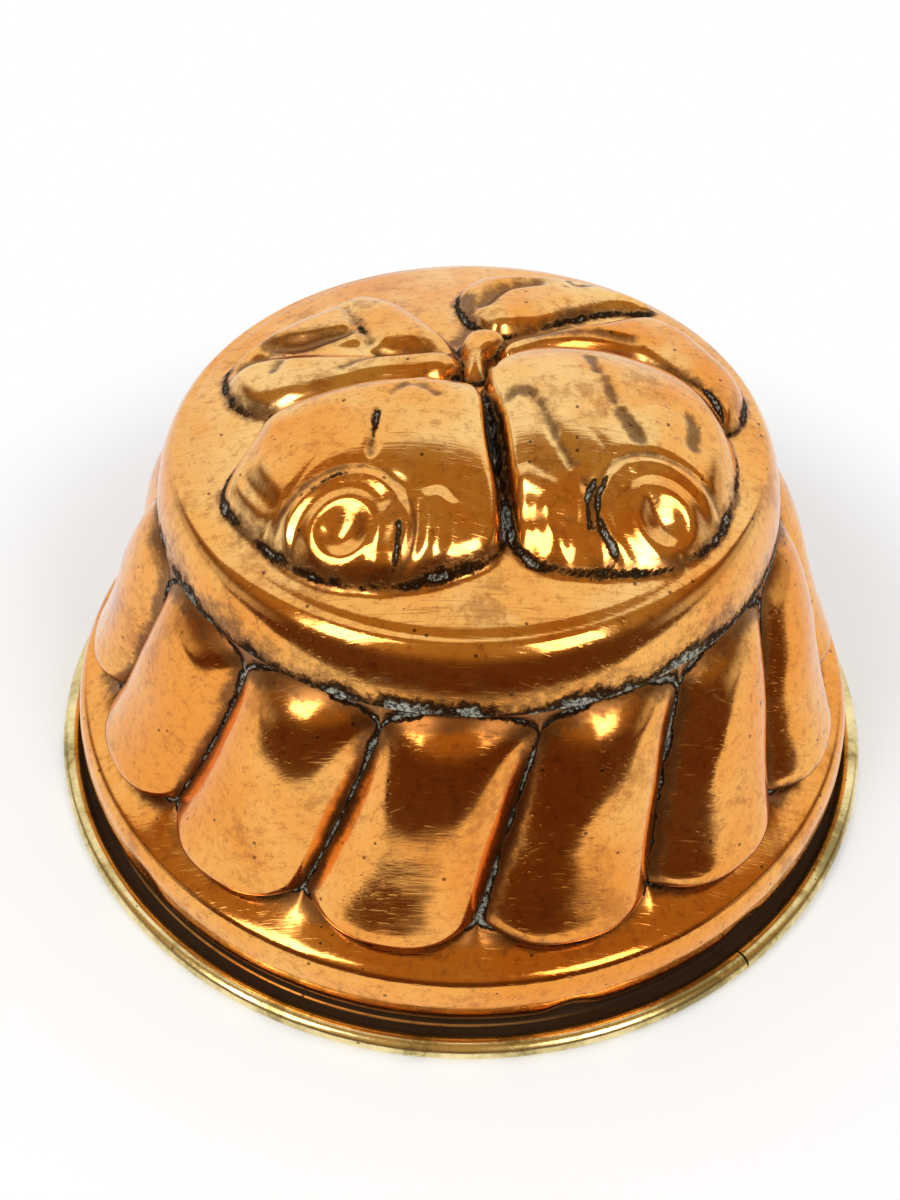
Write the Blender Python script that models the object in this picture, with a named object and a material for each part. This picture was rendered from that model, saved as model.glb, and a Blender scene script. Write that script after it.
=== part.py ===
"""Copper charlotte mould, standing mouth down, with a brass rim and a hanging ring.

One copper pressing makes the whole bowl: a capped crown with fruit and leaves, a ring
of slanted lobes, and a rolled skirt that ends in a flat flange. A brass band is
wrapped round the edge of the flange over an iron wire. A lug brazed on the rim at
the back carries a loose brass ring.

Metres, +Z up. The mould's axis is the empty "mould_axis"; the ring lies behind it.
"""

import math

import bmesh
import bpy
import numpy as np

# Rim: brass band over an iron wire
RIM_RADIUS = 0.105
BEAD_RADIUS = 0.0024
BEAD_FOOT = 0.0016
BAND_WALL = 0.0005
BAND_JOINT_GAP = 0.0005
BAND_JOINT_ANGLE = math.radians(-50.0)
WIRE_RADIUS = 0.00095
WIRE_OFFSET = 0.0004
FIT_GAP = 0.0003

# Copper pressing, named from the rim inwards and from the table upwards
SHEET = 0.001
GROOVE_GAP = 0.0013
ROLL_REACH = 0.0044
ROLL_HALF_HEIGHT = 0.0071
FLANGE_NECK = 0.0012
LEDGE_REACH = 0.009
LEDGE_RISE = 0.0102
WALL_FLARE = 0.0138
LOBE_HEIGHT = 0.0417
LOBE_PROUD = 0.0082
SEAM_HOLLOW = 0.0018
LOBE_TWIST = math.radians(-9.6)
ARCH_RISE = 0.0063
ARCH_SAG = 0.0047
COLLAR_STEP = 0.0018
COLLAR_HEIGHT = 0.0006
SHOULDER_REACH = 0.0084
SHOULDER_RISE = 0.0167
CAP_RISE = 0.0095
LOBE_COUNT = 14

# Relief on the crown
FRUIT_HEIGHT = 0.0108
LEAF_HEIGHT = 0.0062
BACK_LEAF_HEIGHT = 0.005
STEM_HEIGHT = 0.005
WHORL_HEIGHT = 0.0014
DIMPLE_DEPTH = 0.0024

# Outlines of the relief, x to the right and y to the back, in crown radii
LEFT_FRUIT = (
    (-0.587, -0.092), (-0.691, -0.258), (-0.732, -0.419), (-0.629, -0.562), (-0.481, -0.702),
    (-0.315, -0.764), (-0.114, -0.758), (0.093, -0.691), (0.090, -0.565), (0.057, -0.379),
    (0.003, -0.057), (-0.190, -0.043), (-0.390, -0.057),
)
RIGHT_FRUIT = (
    (0.129, -0.665), (0.276, -0.705), (0.474, -0.688), (0.615, -0.638), (0.750, -0.489),
    (0.818, -0.212), (0.754, 0.007), (0.635, 0.124), (0.485, 0.193), (0.275, 0.189),
    (0.122, 0.086), (0.031, -0.062), (0.066, -0.272), (0.100, -0.501),
)
LEFT_LEAF = (
    (-0.809, 0.193), (-0.773, 0.043), (-0.695, -0.037), (-0.587, -0.080), (-0.462, -0.069),
    (-0.309, -0.033), (-0.129, -0.021), (-0.041, 0.047), (-0.044, 0.166), (-0.120, 0.295),
    (-0.212, 0.435), (-0.302, 0.522), (-0.408, 0.551), (-0.536, 0.465), (-0.672, 0.379),
    (-0.758, 0.279),
)
RIGHT_LEAF = (
    (0.079, 0.129), (0.213, 0.165), (0.352, 0.206), (0.485, 0.200), (0.565, 0.157),
    (0.662, 0.056), (0.720, -0.037), (0.805, -0.076), (0.858, 0.000), (0.880, 0.114),
    (0.860, 0.207), (0.801, 0.300), (0.722, 0.408), (0.601, 0.480), (0.501, 0.448),
    (0.386, 0.372), (0.237, 0.295), (0.107, 0.212),
)
BACK_LEAF = (
    (0.069, 0.303), (0.170, 0.335), (0.292, 0.421), (0.436, 0.512), (0.572, 0.558),
    (0.622, 0.615), (0.515, 0.665), (0.343, 0.722), (0.172, 0.730), (0.029, 0.698),
    (-0.043, 0.622), (-0.060, 0.529), (-0.021, 0.401),
)
STEM = (
    (-0.040, 0.177), (0.013, 0.252), (0.077, 0.237), (0.089, 0.186), (0.043, 0.120),
    (0.040, 0.037), (-0.020, 0.034), (-0.031, 0.117),
)

# How far in from its outline each form rises, and the round ends of the fruits
FRUIT_EDGE = 0.30
LEAF_EDGE = 0.13
STEM_EDGE = 0.04
EDGE_FULLNESS = 1.15
LEFT_WHORL = (-0.352, -0.655)
RIGHT_WHORL = (0.562, -0.555)
WHORL_RADII = (0.178, 0.132)
WHORL_CREST = 0.62
WHORL_SPREAD = 0.42
DIMPLE_SHARE = 0.5
FULL_COVER = 0.002
CURVE_STEPS = 4
SOFTENING = 0.035
SOFTENING_TURNS = 8
CENTRE_WEIGHT = 2.0

# Hanging ring and its lug
RING_RADIUS = 0.013
RING_WIRE_RADIUS = 0.0014
EYE_CLEARANCE = 0.0005
LUG_WALL = 0.0011
LUG_WIDTH = 0.005
FLOOR_GAP = 0.0002

# Facets
COLUMNS_PER_LOBE = 8
RIM_SEGMENTS = 72
WIRE_SIDES = 6
RING_SEGMENTS = 28
RING_SIDES = 8
EYE_SEGMENTS = 16

# Where the rows of the pressing lie, and how square its forms are
CAP_FULLNESS = 2.6
SHOULDER_START = 0.3
SHOULDER_ANGLES = (math.radians(45), math.radians(68), math.radians(90))
LOBE_SHARES = (0.0, 0.05, 0.15, 0.36, 0.62, 0.94, 1.0)
ROLL_ANGLES = (math.radians(85), math.radians(42), 0.0, math.radians(-55))
HEAD_SHARE = 0.36
FOOT_SHARE = 0.08
LOBE_SQUARENESS = 2.8
LEDGE_OUT_SHARE = 0.72
LEDGE_UP_SHARE = 0.38
NECK_SHARE = 0.55
SHARP_ANGLE = math.radians(40)

# Rim and lug sections: how many points on an arc, and the angles where arcs end
BEAD_POINTS = 6
BEAD_FOOT_ANGLE = math.radians(-35)
SADDLE_ANGLES = np.radians((-25, 0, 25, 50, 75))
LUG_ANGLES = np.radians((80, 50, 20, -10, -40, -70, -100, -130))

# Heights and radii that follow from the sizes above
BEAD_CENTRE = RIM_RADIUS - BEAD_RADIUS
FLANGE_TOP = BEAD_RADIUS + SHEET / 2
FLANGE_EDGE = BEAD_CENTRE + WIRE_OFFSET - WIRE_RADIUS - FIT_GAP
ROLL_CENTRE = RIM_RADIUS - 2 * BEAD_RADIUS - GROOVE_GAP - ROLL_REACH
ROLL_Z = FLANGE_TOP + FLANGE_NECK + ROLL_HALF_HEIGHT
SEAM_FOOT_RADIUS = ROLL_CENTRE - LEDGE_REACH
SEAM_FOOT_Z = ROLL_Z + ROLL_HALF_HEIGHT + LEDGE_RISE
SEAM_HEAD_RADIUS = SEAM_FOOT_RADIUS - WALL_FLARE
SEAM_HEAD_Z = SEAM_FOOT_Z + LOBE_HEIGHT
CROWN_RADIUS = SEAM_HEAD_RADIUS - COLLAR_STEP
SHOULDER_FOOT_Z = SEAM_HEAD_Z + ARCH_RISE + COLLAR_HEIGHT
SHOULDER_CENTRE = CROWN_RADIUS - SHOULDER_REACH
FIELD_RADIUS = SHOULDER_CENTRE + SHOULDER_START * SHOULDER_REACH
FIELD_EDGE_Z = SHOULDER_FOOT_Z + SHOULDER_RISE * math.sqrt(1.0 - SHOULDER_START**2)
COLUMNS = LOBE_COUNT * COLUMNS_PER_LOBE
EYE_RADIUS = RING_WIRE_RADIUS + EYE_CLEARANCE
LUG_RADIUS = EYE_RADIUS + LUG_WALL
EYE_Y = RIM_RADIUS + FIT_GAP + LUG_RADIUS
EYE_Z = LUG_RADIUS + FLOOR_GAP
RING_TILT = math.asin((EYE_Z - RING_WIRE_RADIUS - FLOOR_GAP) / (2 * RING_RADIUS))
RING_REACH = EYE_Y + 2 * RING_RADIUS * math.cos(RING_TILT) + RING_WIRE_RADIUS


def clear_scene():
    """Remove every object that the file opened with."""
    for obj in list(bpy.data.objects):
        bpy.data.objects.remove(obj, do_unlink=True)


def make_material(name, colour, roughness, metallic=1.0):
    """A Principled material with a plain colour."""
    material = bpy.data.materials.new(name)
    material.use_nodes = True
    shader = material.node_tree.nodes["Principled BSDF"]
    shader.inputs["Base Color"].default_value = (*colour, 1.0)
    shader.inputs["Roughness"].default_value = roughness
    shader.inputs["Metallic"].default_value = metallic
    return material


def add_object(name, bm, material, parent):
    """Turn a bmesh into a smooth-shaded object under its parent empty."""
    bmesh.ops.recalc_face_normals(bm, faces=bm.faces)
    mesh = bpy.data.meshes.new(name)
    bm.to_mesh(mesh)
    bm.free()
    mesh.shade_smooth()
    mesh.set_sharp_from_angle(angle=SHARP_ANGLE)
    mesh.materials.append(material)
    obj = bpy.data.objects.new(name, mesh)
    bpy.context.collection.objects.link(obj)
    obj.parent = parent
    return obj


def add_empty(name, location, parent=None):
    """An empty that places a group of pieces, or marks a joint's axis."""
    empty = bpy.data.objects.new(name, None)
    bpy.context.collection.objects.link(empty)
    empty.location = location
    empty.parent = parent
    return empty


# Crown: a shallow cap with a rolled shoulder, and the relief added to it


def crown_dome(radius):
    """Height of the plain crown at a distance from the axis."""
    fall = np.clip(radius / FIELD_RADIUS, 0.0, 1.0) ** CAP_FULLNESS
    cap = FIELD_EDGE_Z + CAP_RISE * (1.0 - fall)
    share = np.clip((radius - SHOULDER_CENTRE) / SHOULDER_REACH, 0.0, 1.0)
    shoulder = SHOULDER_FOOT_Z + SHOULDER_RISE * np.sqrt(1.0 - share**2)
    return np.where(radius < FIELD_RADIUS, cap, shoulder)


def outline_curve(outline):
    """A smooth closed curve through an outline's points, its first point last too."""
    points = np.array(outline)
    before, after = np.roll(points, 1, axis=0), np.roll(points, -1, axis=0)
    beyond = np.roll(points, -2, axis=0)
    curve = []
    for share in np.arange(CURVE_STEPS) / CURVE_STEPS:
        bend = (2 * before - 5 * points + 4 * after - beyond) * share**2
        turn = (3 * points - before - 3 * after + beyond) * share**3
        curve.append(0.5 * (2 * points + (after - before) * share + bend + turn))
    curve = np.stack(curve, axis=1).reshape(-1, 2)
    return np.vstack([curve, curve[:1]])


def depth_inside(x, y, outline):
    """How far each point lies in from an outline; zero outside it."""
    curve = outline_curve(outline)
    nearest = np.full(x.shape, np.inf)
    inside = np.zeros(x.shape, dtype=bool)
    for (ax, ay), (bx, by) in zip(curve[:-1], curve[1:]):
        run_x, run_y = bx - ax, by - ay
        along = ((x - ax) * run_x + (y - ay) * run_y) / (run_x**2 + run_y**2)
        along = np.clip(along, 0.0, 1.0)
        away = np.hypot(x - ax - along * run_x, y - ay - along * run_y)
        nearest = np.minimum(nearest, away)
        if run_y != 0.0:
            reach = ax + (y - ay) / run_y * run_x
            inside ^= ((ay > y) != (by > y)) & (x < reach)
    return np.where(inside, nearest, 0.0)


def raised_form(x, y, outline, edge):
    """A form that rises from its outline as a quarter round, then stays level."""
    share = np.clip(depth_inside(x, y, outline) / edge, 0.0, 1.0)
    return np.sqrt(1.0 - (1.0 - share) ** 2) ** EDGE_FULLNESS


def bell(distance):
    """A smooth bump: one at distance 0, zero from distance 1 on."""
    return np.clip(1.0 - distance**2, 0.0, 1.0) ** 2


def whorl(x, y, centre):
    """The round end of a fruit: a raised ring round a dimple."""
    distance = np.hypot((x - centre[0]) / WHORL_RADII[0], (y - centre[1]) / WHORL_RADII[1])
    ring = WHORL_HEIGHT * bell((distance - WHORL_CREST) / WHORL_SPREAD)
    return ring - DIMPLE_DEPTH * bell(distance / DIMPLE_SHARE)


def relief(x, y):
    """Height of the fruit and leaves above the crown; x and y in crown radii."""
    left = raised_form(x, y, LEFT_FRUIT, FRUIT_EDGE)
    right = raised_form(x, y, RIGHT_FRUIT, FRUIT_EDGE)
    height = FRUIT_HEIGHT * np.maximum(left, right)
    for outline, rise, edge in (
        (LEFT_LEAF, LEAF_HEIGHT, LEAF_EDGE),
        (RIGHT_LEAF, LEAF_HEIGHT, LEAF_EDGE),
        (BACK_LEAF, BACK_LEAF_HEIGHT, LEAF_EDGE),
        (STEM, STEM_HEIGHT, STEM_EDGE),
    ):
        height = np.maximum(height, rise * raised_form(x, y, outline, edge))
    covered = np.clip(height / FULL_COVER, 0.0, 1.0)
    return height + covered * (whorl(x, y, LEFT_WHORL) + whorl(x, y, RIGHT_WHORL))


def softened_relief(x, y):
    """The relief averaged over a small circle, as sheet metal rounds every edge."""
    total = CENTRE_WEIGHT * relief(x, y)
    for turn in np.arange(SOFTENING_TURNS) * 2 * math.pi / SOFTENING_TURNS:
        shift_x = SOFTENING * math.cos(turn)
        shift_y = SOFTENING * math.sin(turn)
        total += relief(x + shift_x, y + shift_y)
    return total / (CENTRE_WEIGHT + SOFTENING_TURNS)


def crown_grid(edge_radius):
    """A square grid bent to a disc: its points, its faces and its edge in order."""
    count = COLUMNS // 4
    side = np.linspace(-1.0, 1.0, count + 1)
    a, b = np.meshgrid(side, side, indexing="ij")
    wide = np.abs(a) > np.abs(b)
    reach = np.where(wide, a, b)
    safe = np.where(reach == 0.0, 1.0, reach)
    turn = np.where(wide, math.pi / 4 * b / safe, math.pi / 2 - math.pi / 4 * a / safe)
    x = edge_radius * reach * np.cos(turn)
    y = edge_radius * reach * np.sin(turn)
    z = crown_dome(np.hypot(x, y)) + softened_relief(x / CROWN_RADIUS, y / CROWN_RADIUS)
    index = np.arange((count + 1) ** 2).reshape(count + 1, count + 1)
    faces = np.stack(
        [index[:-1, :-1], index[1:, :-1], index[1:, 1:], index[:-1, 1:]], axis=-1
    )
    on_edge = (np.abs(a) == 1.0) | (np.abs(b) == 1.0)
    angle = np.arctan2(y[on_edge], x[on_edge])
    order = np.argsort(np.round(angle / (2 * math.pi) * COLUMNS).astype(int) % COLUMNS)
    points = np.stack([x, y, z], axis=-1).reshape(-1, 3)
    return points, faces.reshape(-1, 4), index[on_edge][order]


# Wall: rows of points from the crown's edge down to the flange


def ring_row(radius, height, turn=0.0):
    """One row round the axis; radius and height may change from column to column."""
    angle = np.arange(COLUMNS) * 2 * math.pi / COLUMNS + turn
    radius = np.broadcast_to(radius, COLUMNS)
    height = np.broadcast_to(height, COLUMNS)
    return np.stack([radius * np.cos(angle), radius * np.sin(angle), height], axis=-1)


def lobe_row(share):
    """A row across the lobes, at a share of the way from their heads to their feet."""
    across = (np.arange(COLUMNS) % COLUMNS_PER_LOBE) / COLUMNS_PER_LOBE * 2 - 1
    arch = np.sqrt(1.0 - across**2)
    head = SEAM_HEAD_Z + ARCH_RISE * arch
    foot = SEAM_FOOT_Z - ARCH_SAG * arch
    height = head + (foot - head) * share
    fall = (SEAM_HEAD_Z - height) / LOBE_HEIGHT
    hollow = SEAM_HOLLOW * 4 * np.clip(fall * (1 - fall), 0.0, 1.0)
    seam = SEAM_HEAD_RADIUS + WALL_FLARE * fall - hollow
    round_head = math.sqrt(1.0 - (1.0 - min(share / HEAD_SHARE, 1.0)) ** 2)
    round_foot = math.sqrt(1.0 - (1.0 - min((1.0 - share) / FOOT_SHARE, 1.0)) ** 2)
    proud = LOBE_PROUD * round_head * round_foot * (1.0 - np.abs(across) ** LOBE_SQUARENESS)
    return ring_row(seam + proud, height, LOBE_TWIST * share)


def wall_rows():
    """Every row below the crown's edge, down to the flange's edge."""
    rows = []
    for angle in SHOULDER_ANGLES:
        radius = SHOULDER_CENTRE + SHOULDER_REACH * math.sin(angle)
        rows.append(ring_row(radius, crown_dome(radius)))
    for share in LOBE_SHARES:
        rows.append(lobe_row(share))
    ledge_radius = SEAM_FOOT_RADIUS + LEDGE_OUT_SHARE * LEDGE_REACH
    ledge_z = ROLL_Z + ROLL_HALF_HEIGHT + LEDGE_UP_SHARE * LEDGE_RISE
    rows.append(ring_row(ledge_radius, ledge_z, LOBE_TWIST))
    for angle in ROLL_ANGLES:
        radius = ROLL_CENTRE + ROLL_REACH * math.cos(angle)
        height = ROLL_Z + ROLL_HALF_HEIGHT * math.sin(angle)
        rows.append(ring_row(radius, height, LOBE_TWIST))
    rows.append(ring_row(ROLL_CENTRE + NECK_SHARE * ROLL_REACH, FLANGE_TOP, LOBE_TWIST))
    rows.append(ring_row(FLANGE_EDGE, FLANGE_TOP, LOBE_TWIST))
    return rows


def build_copper_shell(parent, material):
    """The pressing: one open surface, given the sheet's thickness inwards."""
    points, crown_faces, edge = crown_grid(FIELD_RADIUS)
    bm = bmesh.new()
    crown = [bm.verts.new(point) for point in points]
    for face in crown_faces:
        bm.faces.new([crown[i] for i in face])
    above = [crown[i] for i in edge]
    for row in wall_rows():
        below = [bm.verts.new(point) for point in row]
        for k in range(COLUMNS):
            following = (k + 1) % COLUMNS
            bm.faces.new((above[k], below[k], below[following], above[following]))
        above = below
    shell = add_object("copper_shell", bm, material, parent)
    solidify = shell.modifiers.new("sheet", "SOLIDIFY")
    solidify.thickness = SHEET
    solidify.offset = -1.0
    solidify.use_even_offset = True
    return shell


# Rim: profiles in the XZ plane, spun about the axis


def spin_profile(bm, outline, start, sweep):
    """Spin a closed outline of (radius, height) points about the mould's axis."""
    verts = []
    for radius, height in outline:
        place = (radius * math.cos(start), radius * math.sin(start), height)
        verts.append(bm.verts.new(place))
    edges = []
    for k, vert in enumerate(verts):
        edges.append(bm.edges.new((vert, verts[(k + 1) % len(verts)])))
    closed = sweep >= 2 * math.pi
    swept = bmesh.ops.spin(
        bm, geom=verts + edges, cent=(0, 0, 0), axis=(0, 0, 1), angle=sweep,
        steps=RIM_SEGMENTS, use_merge=closed,
    )
    if not closed:
        last = [item for item in swept["geom_last"] if isinstance(item, bmesh.types.BMEdge)]
        bmesh.ops.triangle_fill(bm, edges=edges, use_beauty=True)
        bmesh.ops.triangle_fill(bm, edges=last, use_beauty=True)


def band_outline():
    """The C-shaped section: a bead with a flat foot, open towards the flange."""
    lip = SHEET / 2 + FIT_GAP
    inner = BEAD_RADIUS - BAND_WALL
    outer_lip = math.pi - math.asin(lip / BEAD_RADIUS)
    inner_lip = math.pi - math.asin(lip / inner)
    outline = []
    for angle in np.linspace(outer_lip, BEAD_FOOT_ANGLE, BEAD_POINTS):
        across = BEAD_CENTRE + BEAD_RADIUS * math.cos(angle)
        outline.append((across, BEAD_RADIUS * (1 + math.sin(angle))))
    outline.append((BEAD_CENTRE + BEAD_FOOT / 2, 0.0))
    outline.append((BEAD_CENTRE - BEAD_FOOT / 2, 0.0))
    across = BEAD_CENTRE + BEAD_RADIUS * math.cos(outer_lip)
    outline.append((across, BEAD_RADIUS - lip))
    for angle in np.linspace(-inner_lip, inner_lip, BEAD_POINTS):
        across = BEAD_CENTRE + inner * math.cos(angle)
        outline.append((across, BEAD_RADIUS + inner * math.sin(angle)))
    return outline


def build_rim_band(parent, material):
    """Brass band wrapped round the flange, its two ends meeting at an open joint."""
    gap = BAND_JOINT_GAP / RIM_RADIUS
    bm = bmesh.new()
    spin_profile(bm, band_outline(), BAND_JOINT_ANGLE + gap / 2, 2 * math.pi - gap)
    return add_object("rim_band", bm, material, parent)


def build_rim_wire(parent, material):
    """Iron wire inside the band, just outside the flange's edge."""
    outline = []
    for k in range(WIRE_SIDES):
        angle = 2 * math.pi * k / WIRE_SIDES
        across = BEAD_CENTRE + WIRE_OFFSET + WIRE_RADIUS * math.cos(angle)
        outline.append((across, BEAD_RADIUS + WIRE_RADIUS * math.sin(angle)))
    bm = bmesh.new()
    spin_profile(bm, outline, BAND_JOINT_ANGLE, 2 * math.pi)
    return add_object("rim_wire", bm, material, parent)


# Hanging ring


def build_ring_lug(parent, material):
    """Lug that hugs the bead and carries the ring in its eye."""
    saddle = BEAD_RADIUS + FIT_GAP
    side = []
    for angle in SADDLE_ANGLES:
        side.append((BEAD_CENTRE + saddle * math.cos(angle), BEAD_RADIUS + saddle * math.sin(angle)))
    crest = SADDLE_ANGLES[-1]
    top = saddle + LUG_WALL
    side.append((BEAD_CENTRE + top * math.cos(crest), BEAD_RADIUS + top * math.sin(crest)))
    for angle in LUG_ANGLES:
        side.append((EYE_Y + LUG_RADIUS * math.cos(angle), EYE_Z + LUG_RADIUS * math.sin(angle)))
    eye = []
    for k in range(EYE_SEGMENTS):
        angle = 2 * math.pi * k / EYE_SEGMENTS
        eye.append((EYE_Y + EYE_RADIUS * math.cos(angle), EYE_Z + EYE_RADIUS * math.sin(angle)))
    bm = bmesh.new()
    edges = []
    for outline in (side, eye):
        verts = [bm.verts.new((-LUG_WIDTH / 2, y, z)) for y, z in outline]
        for k, vert in enumerate(verts):
            edges.append(bm.edges.new((vert, verts[(k + 1) % len(verts)])))
    filled = bmesh.ops.triangle_fill(bm, edges=edges, use_beauty=True)
    faces = [item for item in filled["geom"] if isinstance(item, bmesh.types.BMFace)]
    extruded = bmesh.ops.extrude_face_region(bm, geom=faces)
    moved = [item for item in extruded["geom"] if isinstance(item, bmesh.types.BMVert)]
    bmesh.ops.translate(bm, verts=moved, vec=(LUG_WIDTH, 0, 0))
    return add_object("ring_lug", bm, material, parent)


def build_hanging_ring(parent, material):
    """Brass ring lying back from the lug's eye, its far side on the table."""
    bm = bmesh.new()
    rows = []
    for i in range(RING_SEGMENTS):
        turn = 2 * math.pi * i / RING_SEGMENTS
        row = []
        for k in range(RING_SIDES):
            angle = 2 * math.pi * k / RING_SIDES
            reach = RING_RADIUS + RING_WIRE_RADIUS * math.cos(angle)
            place = (
                reach * math.sin(turn),
                RING_RADIUS - reach * math.cos(turn),
                RING_WIRE_RADIUS * math.sin(angle),
            )
            row.append(bm.verts.new(place))
        rows.append(row)
    for i, row in enumerate(rows):
        following = rows[(i + 1) % RING_SEGMENTS]
        for k in range(RING_SIDES):
            j = (k + 1) % RING_SIDES
            bm.faces.new((row[k], row[j], following[j], following[k]))
    ring = add_object("hanging_ring", bm, material, parent)
    ring.rotation_euler = (-RING_TILT, 0, 0)
    return ring


def main():
    """Build every piece about the mould's axis."""
    clear_scene()
    copper = make_material("polished_copper", (0.80, 0.36, 0.14), 0.24)
    brass = make_material("aged_brass", (0.52, 0.38, 0.15), 0.34)
    iron = make_material("iron_wire", (0.20, 0.18, 0.17), 0.6)
    depth_centre = (RING_REACH - RIM_RADIUS) / 2
    axis = add_empty("mould_axis", (0.0, -depth_centre, 0.0))
    build_copper_shell(axis, copper)
    build_rim_band(axis, brass)
    build_rim_wire(axis, iron)
    build_ring_lug(axis, brass)
    hinge = add_empty("ring_hinge", (0.0, EYE_Y, EYE_Z), axis)
    build_hanging_ring(hinge, brass)
    bpy.context.view_layer.update()


main()
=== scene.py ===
"""Copper charlotte mould, standing mouth down, with a brass-bound rim and a hanging ring.

The pressing is worked out as two surfaces: the crown with its fruit and leaves, and the
wall with its ring of slanted lobes above a rolled skirt. Both are thin closed shells,
copper outside and tinned inside. Lengths are in metres unless a name says otherwise, and
the relief is drawn in millimetres about the mould's axis, x to the right, y to the back.
"""

import logging
import math
from collections.abc import Iterator
from dataclasses import dataclass, field
from enum import Enum
from itertools import product

import bpy
import numpy as np
from mathutils import Matrix, Vector


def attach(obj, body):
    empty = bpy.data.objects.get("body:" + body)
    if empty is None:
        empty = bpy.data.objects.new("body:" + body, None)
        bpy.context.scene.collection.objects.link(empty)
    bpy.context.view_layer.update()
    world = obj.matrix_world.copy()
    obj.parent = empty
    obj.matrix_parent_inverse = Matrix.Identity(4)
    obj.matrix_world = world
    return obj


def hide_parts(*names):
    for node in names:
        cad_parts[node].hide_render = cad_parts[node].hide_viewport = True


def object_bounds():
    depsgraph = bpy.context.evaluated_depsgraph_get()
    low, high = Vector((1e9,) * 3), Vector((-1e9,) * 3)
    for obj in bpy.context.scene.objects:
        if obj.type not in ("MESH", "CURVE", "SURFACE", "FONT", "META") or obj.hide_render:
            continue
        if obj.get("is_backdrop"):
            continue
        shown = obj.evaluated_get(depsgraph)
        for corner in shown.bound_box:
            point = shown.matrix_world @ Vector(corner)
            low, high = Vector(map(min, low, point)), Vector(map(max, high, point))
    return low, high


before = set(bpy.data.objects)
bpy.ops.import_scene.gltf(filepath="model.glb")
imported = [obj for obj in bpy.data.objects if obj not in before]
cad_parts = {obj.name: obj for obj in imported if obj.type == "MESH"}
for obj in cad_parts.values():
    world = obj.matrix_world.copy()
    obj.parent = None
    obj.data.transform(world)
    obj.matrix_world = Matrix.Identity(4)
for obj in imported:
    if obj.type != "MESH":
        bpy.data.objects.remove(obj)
CAD_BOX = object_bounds()

LOG = logging.getLogger("charlotte_mould")
MM = 0.001
TURN = 2 * math.pi
TINY = 1e-12
WHITE = (1.0, 1.0, 1.0, 1.0)
MOULD = "mould"
RING = "ring"

# Place of the mould's axis: the frame's origin is the middle of mould and ring together
AXIS_Y = -0.0153254


class Slot(Enum):
    """Material slots of the record that a piece takes its finish from."""

    COPPER = "polished_copper"
    BRASS = "aged_brass"


@dataclass(frozen=True)
class MouldSizes:
    """Sizes that the mould's pieces share; all but crown_inset are those of the solids."""

    rim_radius: float = 0.105
    bead_radius: float = 0.0024
    bead_foot: float = 0.0016
    band_wall: float = 0.0005
    joint_gap: float = 0.0005
    joint_angle: float = math.radians(-50.0)
    wire_radius: float = 0.00095
    wire_offset: float = 0.0004
    fit_gap: float = 0.0003
    sheet: float = 0.001
    groove_gap: float = 0.0013
    roll_reach: float = 0.0044
    roll_half_height: float = 0.0071
    flange_neck: float = 0.0012
    ledge_reach: float = 0.009
    ledge_rise: float = 0.0102
    wall_flare: float = 0.0138
    lobe_height: float = 0.0417
    lobe_proud: float = 0.0082
    seam_hollow: float = 0.0018
    lobe_twist: float = math.radians(-9.6)
    arch_rise: float = 0.0063
    arch_sag: float = 0.0047
    collar_step: float = 0.0018
    collar_height: float = 0.0006
    shoulder_reach: float = 0.0084
    shoulder_rise: float = 0.0167
    shoulder_start: float = 0.3
    crown_inset: float = 0.00045
    lobe_count: int = 14
    ring_radius: float = 0.013
    ring_wire_radius: float = 0.0014
    eye_clearance: float = 0.0005
    lug_wall: float = 0.0011
    floor_gap: float = 0.0002

    @property
    def bead_centre(self) -> float:
        """Radius at which the middle of the rim's bead runs."""
        return self.rim_radius - self.bead_radius

    @property
    def flange_top(self) -> float:
        """Height of the flange's upper face."""
        return self.bead_radius + self.sheet / 2

    @property
    def flange_edge(self) -> float:
        """Radius of the flange's edge, just inside the wire."""
        return self.bead_centre + self.wire_offset - self.wire_radius - self.fit_gap

    @property
    def roll_centre(self) -> float:
        """Radius of the middle of the skirt's roll."""
        return self.rim_radius - 2 * self.bead_radius - self.groove_gap - self.roll_reach

    @property
    def roll_z(self) -> float:
        """Height of the middle of the skirt's roll."""
        return self.flange_top + self.flange_neck + self.roll_half_height

    @property
    def seam_foot(self) -> tuple[float, float]:
        """Radius and height of the lower end of a seam between lobes."""
        return (
            self.roll_centre - self.ledge_reach,
            self.roll_z + self.roll_half_height + self.ledge_rise,
        )

    @property
    def seam_head(self) -> tuple[float, float]:
        """Radius and height of the upper end of a seam between lobes."""
        radius, height = self.seam_foot
        return radius - self.wall_flare, height + self.lobe_height

    @property
    def crown_radius(self) -> float:
        """Radius of the crown at the foot of its shoulder, just inside the lobes' heads."""
        return self.seam_head[0] - self.crown_inset

    @property
    def shoulder_foot(self) -> float:
        """Height of the foot of the shoulder."""
        return self.seam_head[1] + self.arch_rise + self.collar_height

    @property
    def field_edge(self) -> tuple[float, float]:
        """Radius and height of the crease between the shallow cap and the shoulder."""
        centre = self.seam_head[0] - self.collar_step - self.shoulder_reach
        return (
            centre + self.shoulder_start * self.shoulder_reach,
            self.shoulder_foot + self.shoulder_rise * math.sqrt(1.0 - self.shoulder_start**2),
        )

    @property
    def lug_radius(self) -> float:
        """Outer radius of the lug's eye."""
        return self.ring_wire_radius + self.eye_clearance + self.lug_wall

    @property
    def eye(self) -> tuple[float, float]:
        """Distance behind the axis, and height, of the eye's centre."""
        return (
            self.rim_radius + self.fit_gap + self.lug_radius,
            self.lug_radius + self.floor_gap,
        )

    @property
    def ring_tilt(self) -> float:
        """Angle at which the ring lies back from its eye to the table."""
        drop = self.eye[1] - self.ring_wire_radius - self.floor_gap
        return math.asin(drop / (2 * self.ring_radius))


SIZES = MouldSizes()


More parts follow.
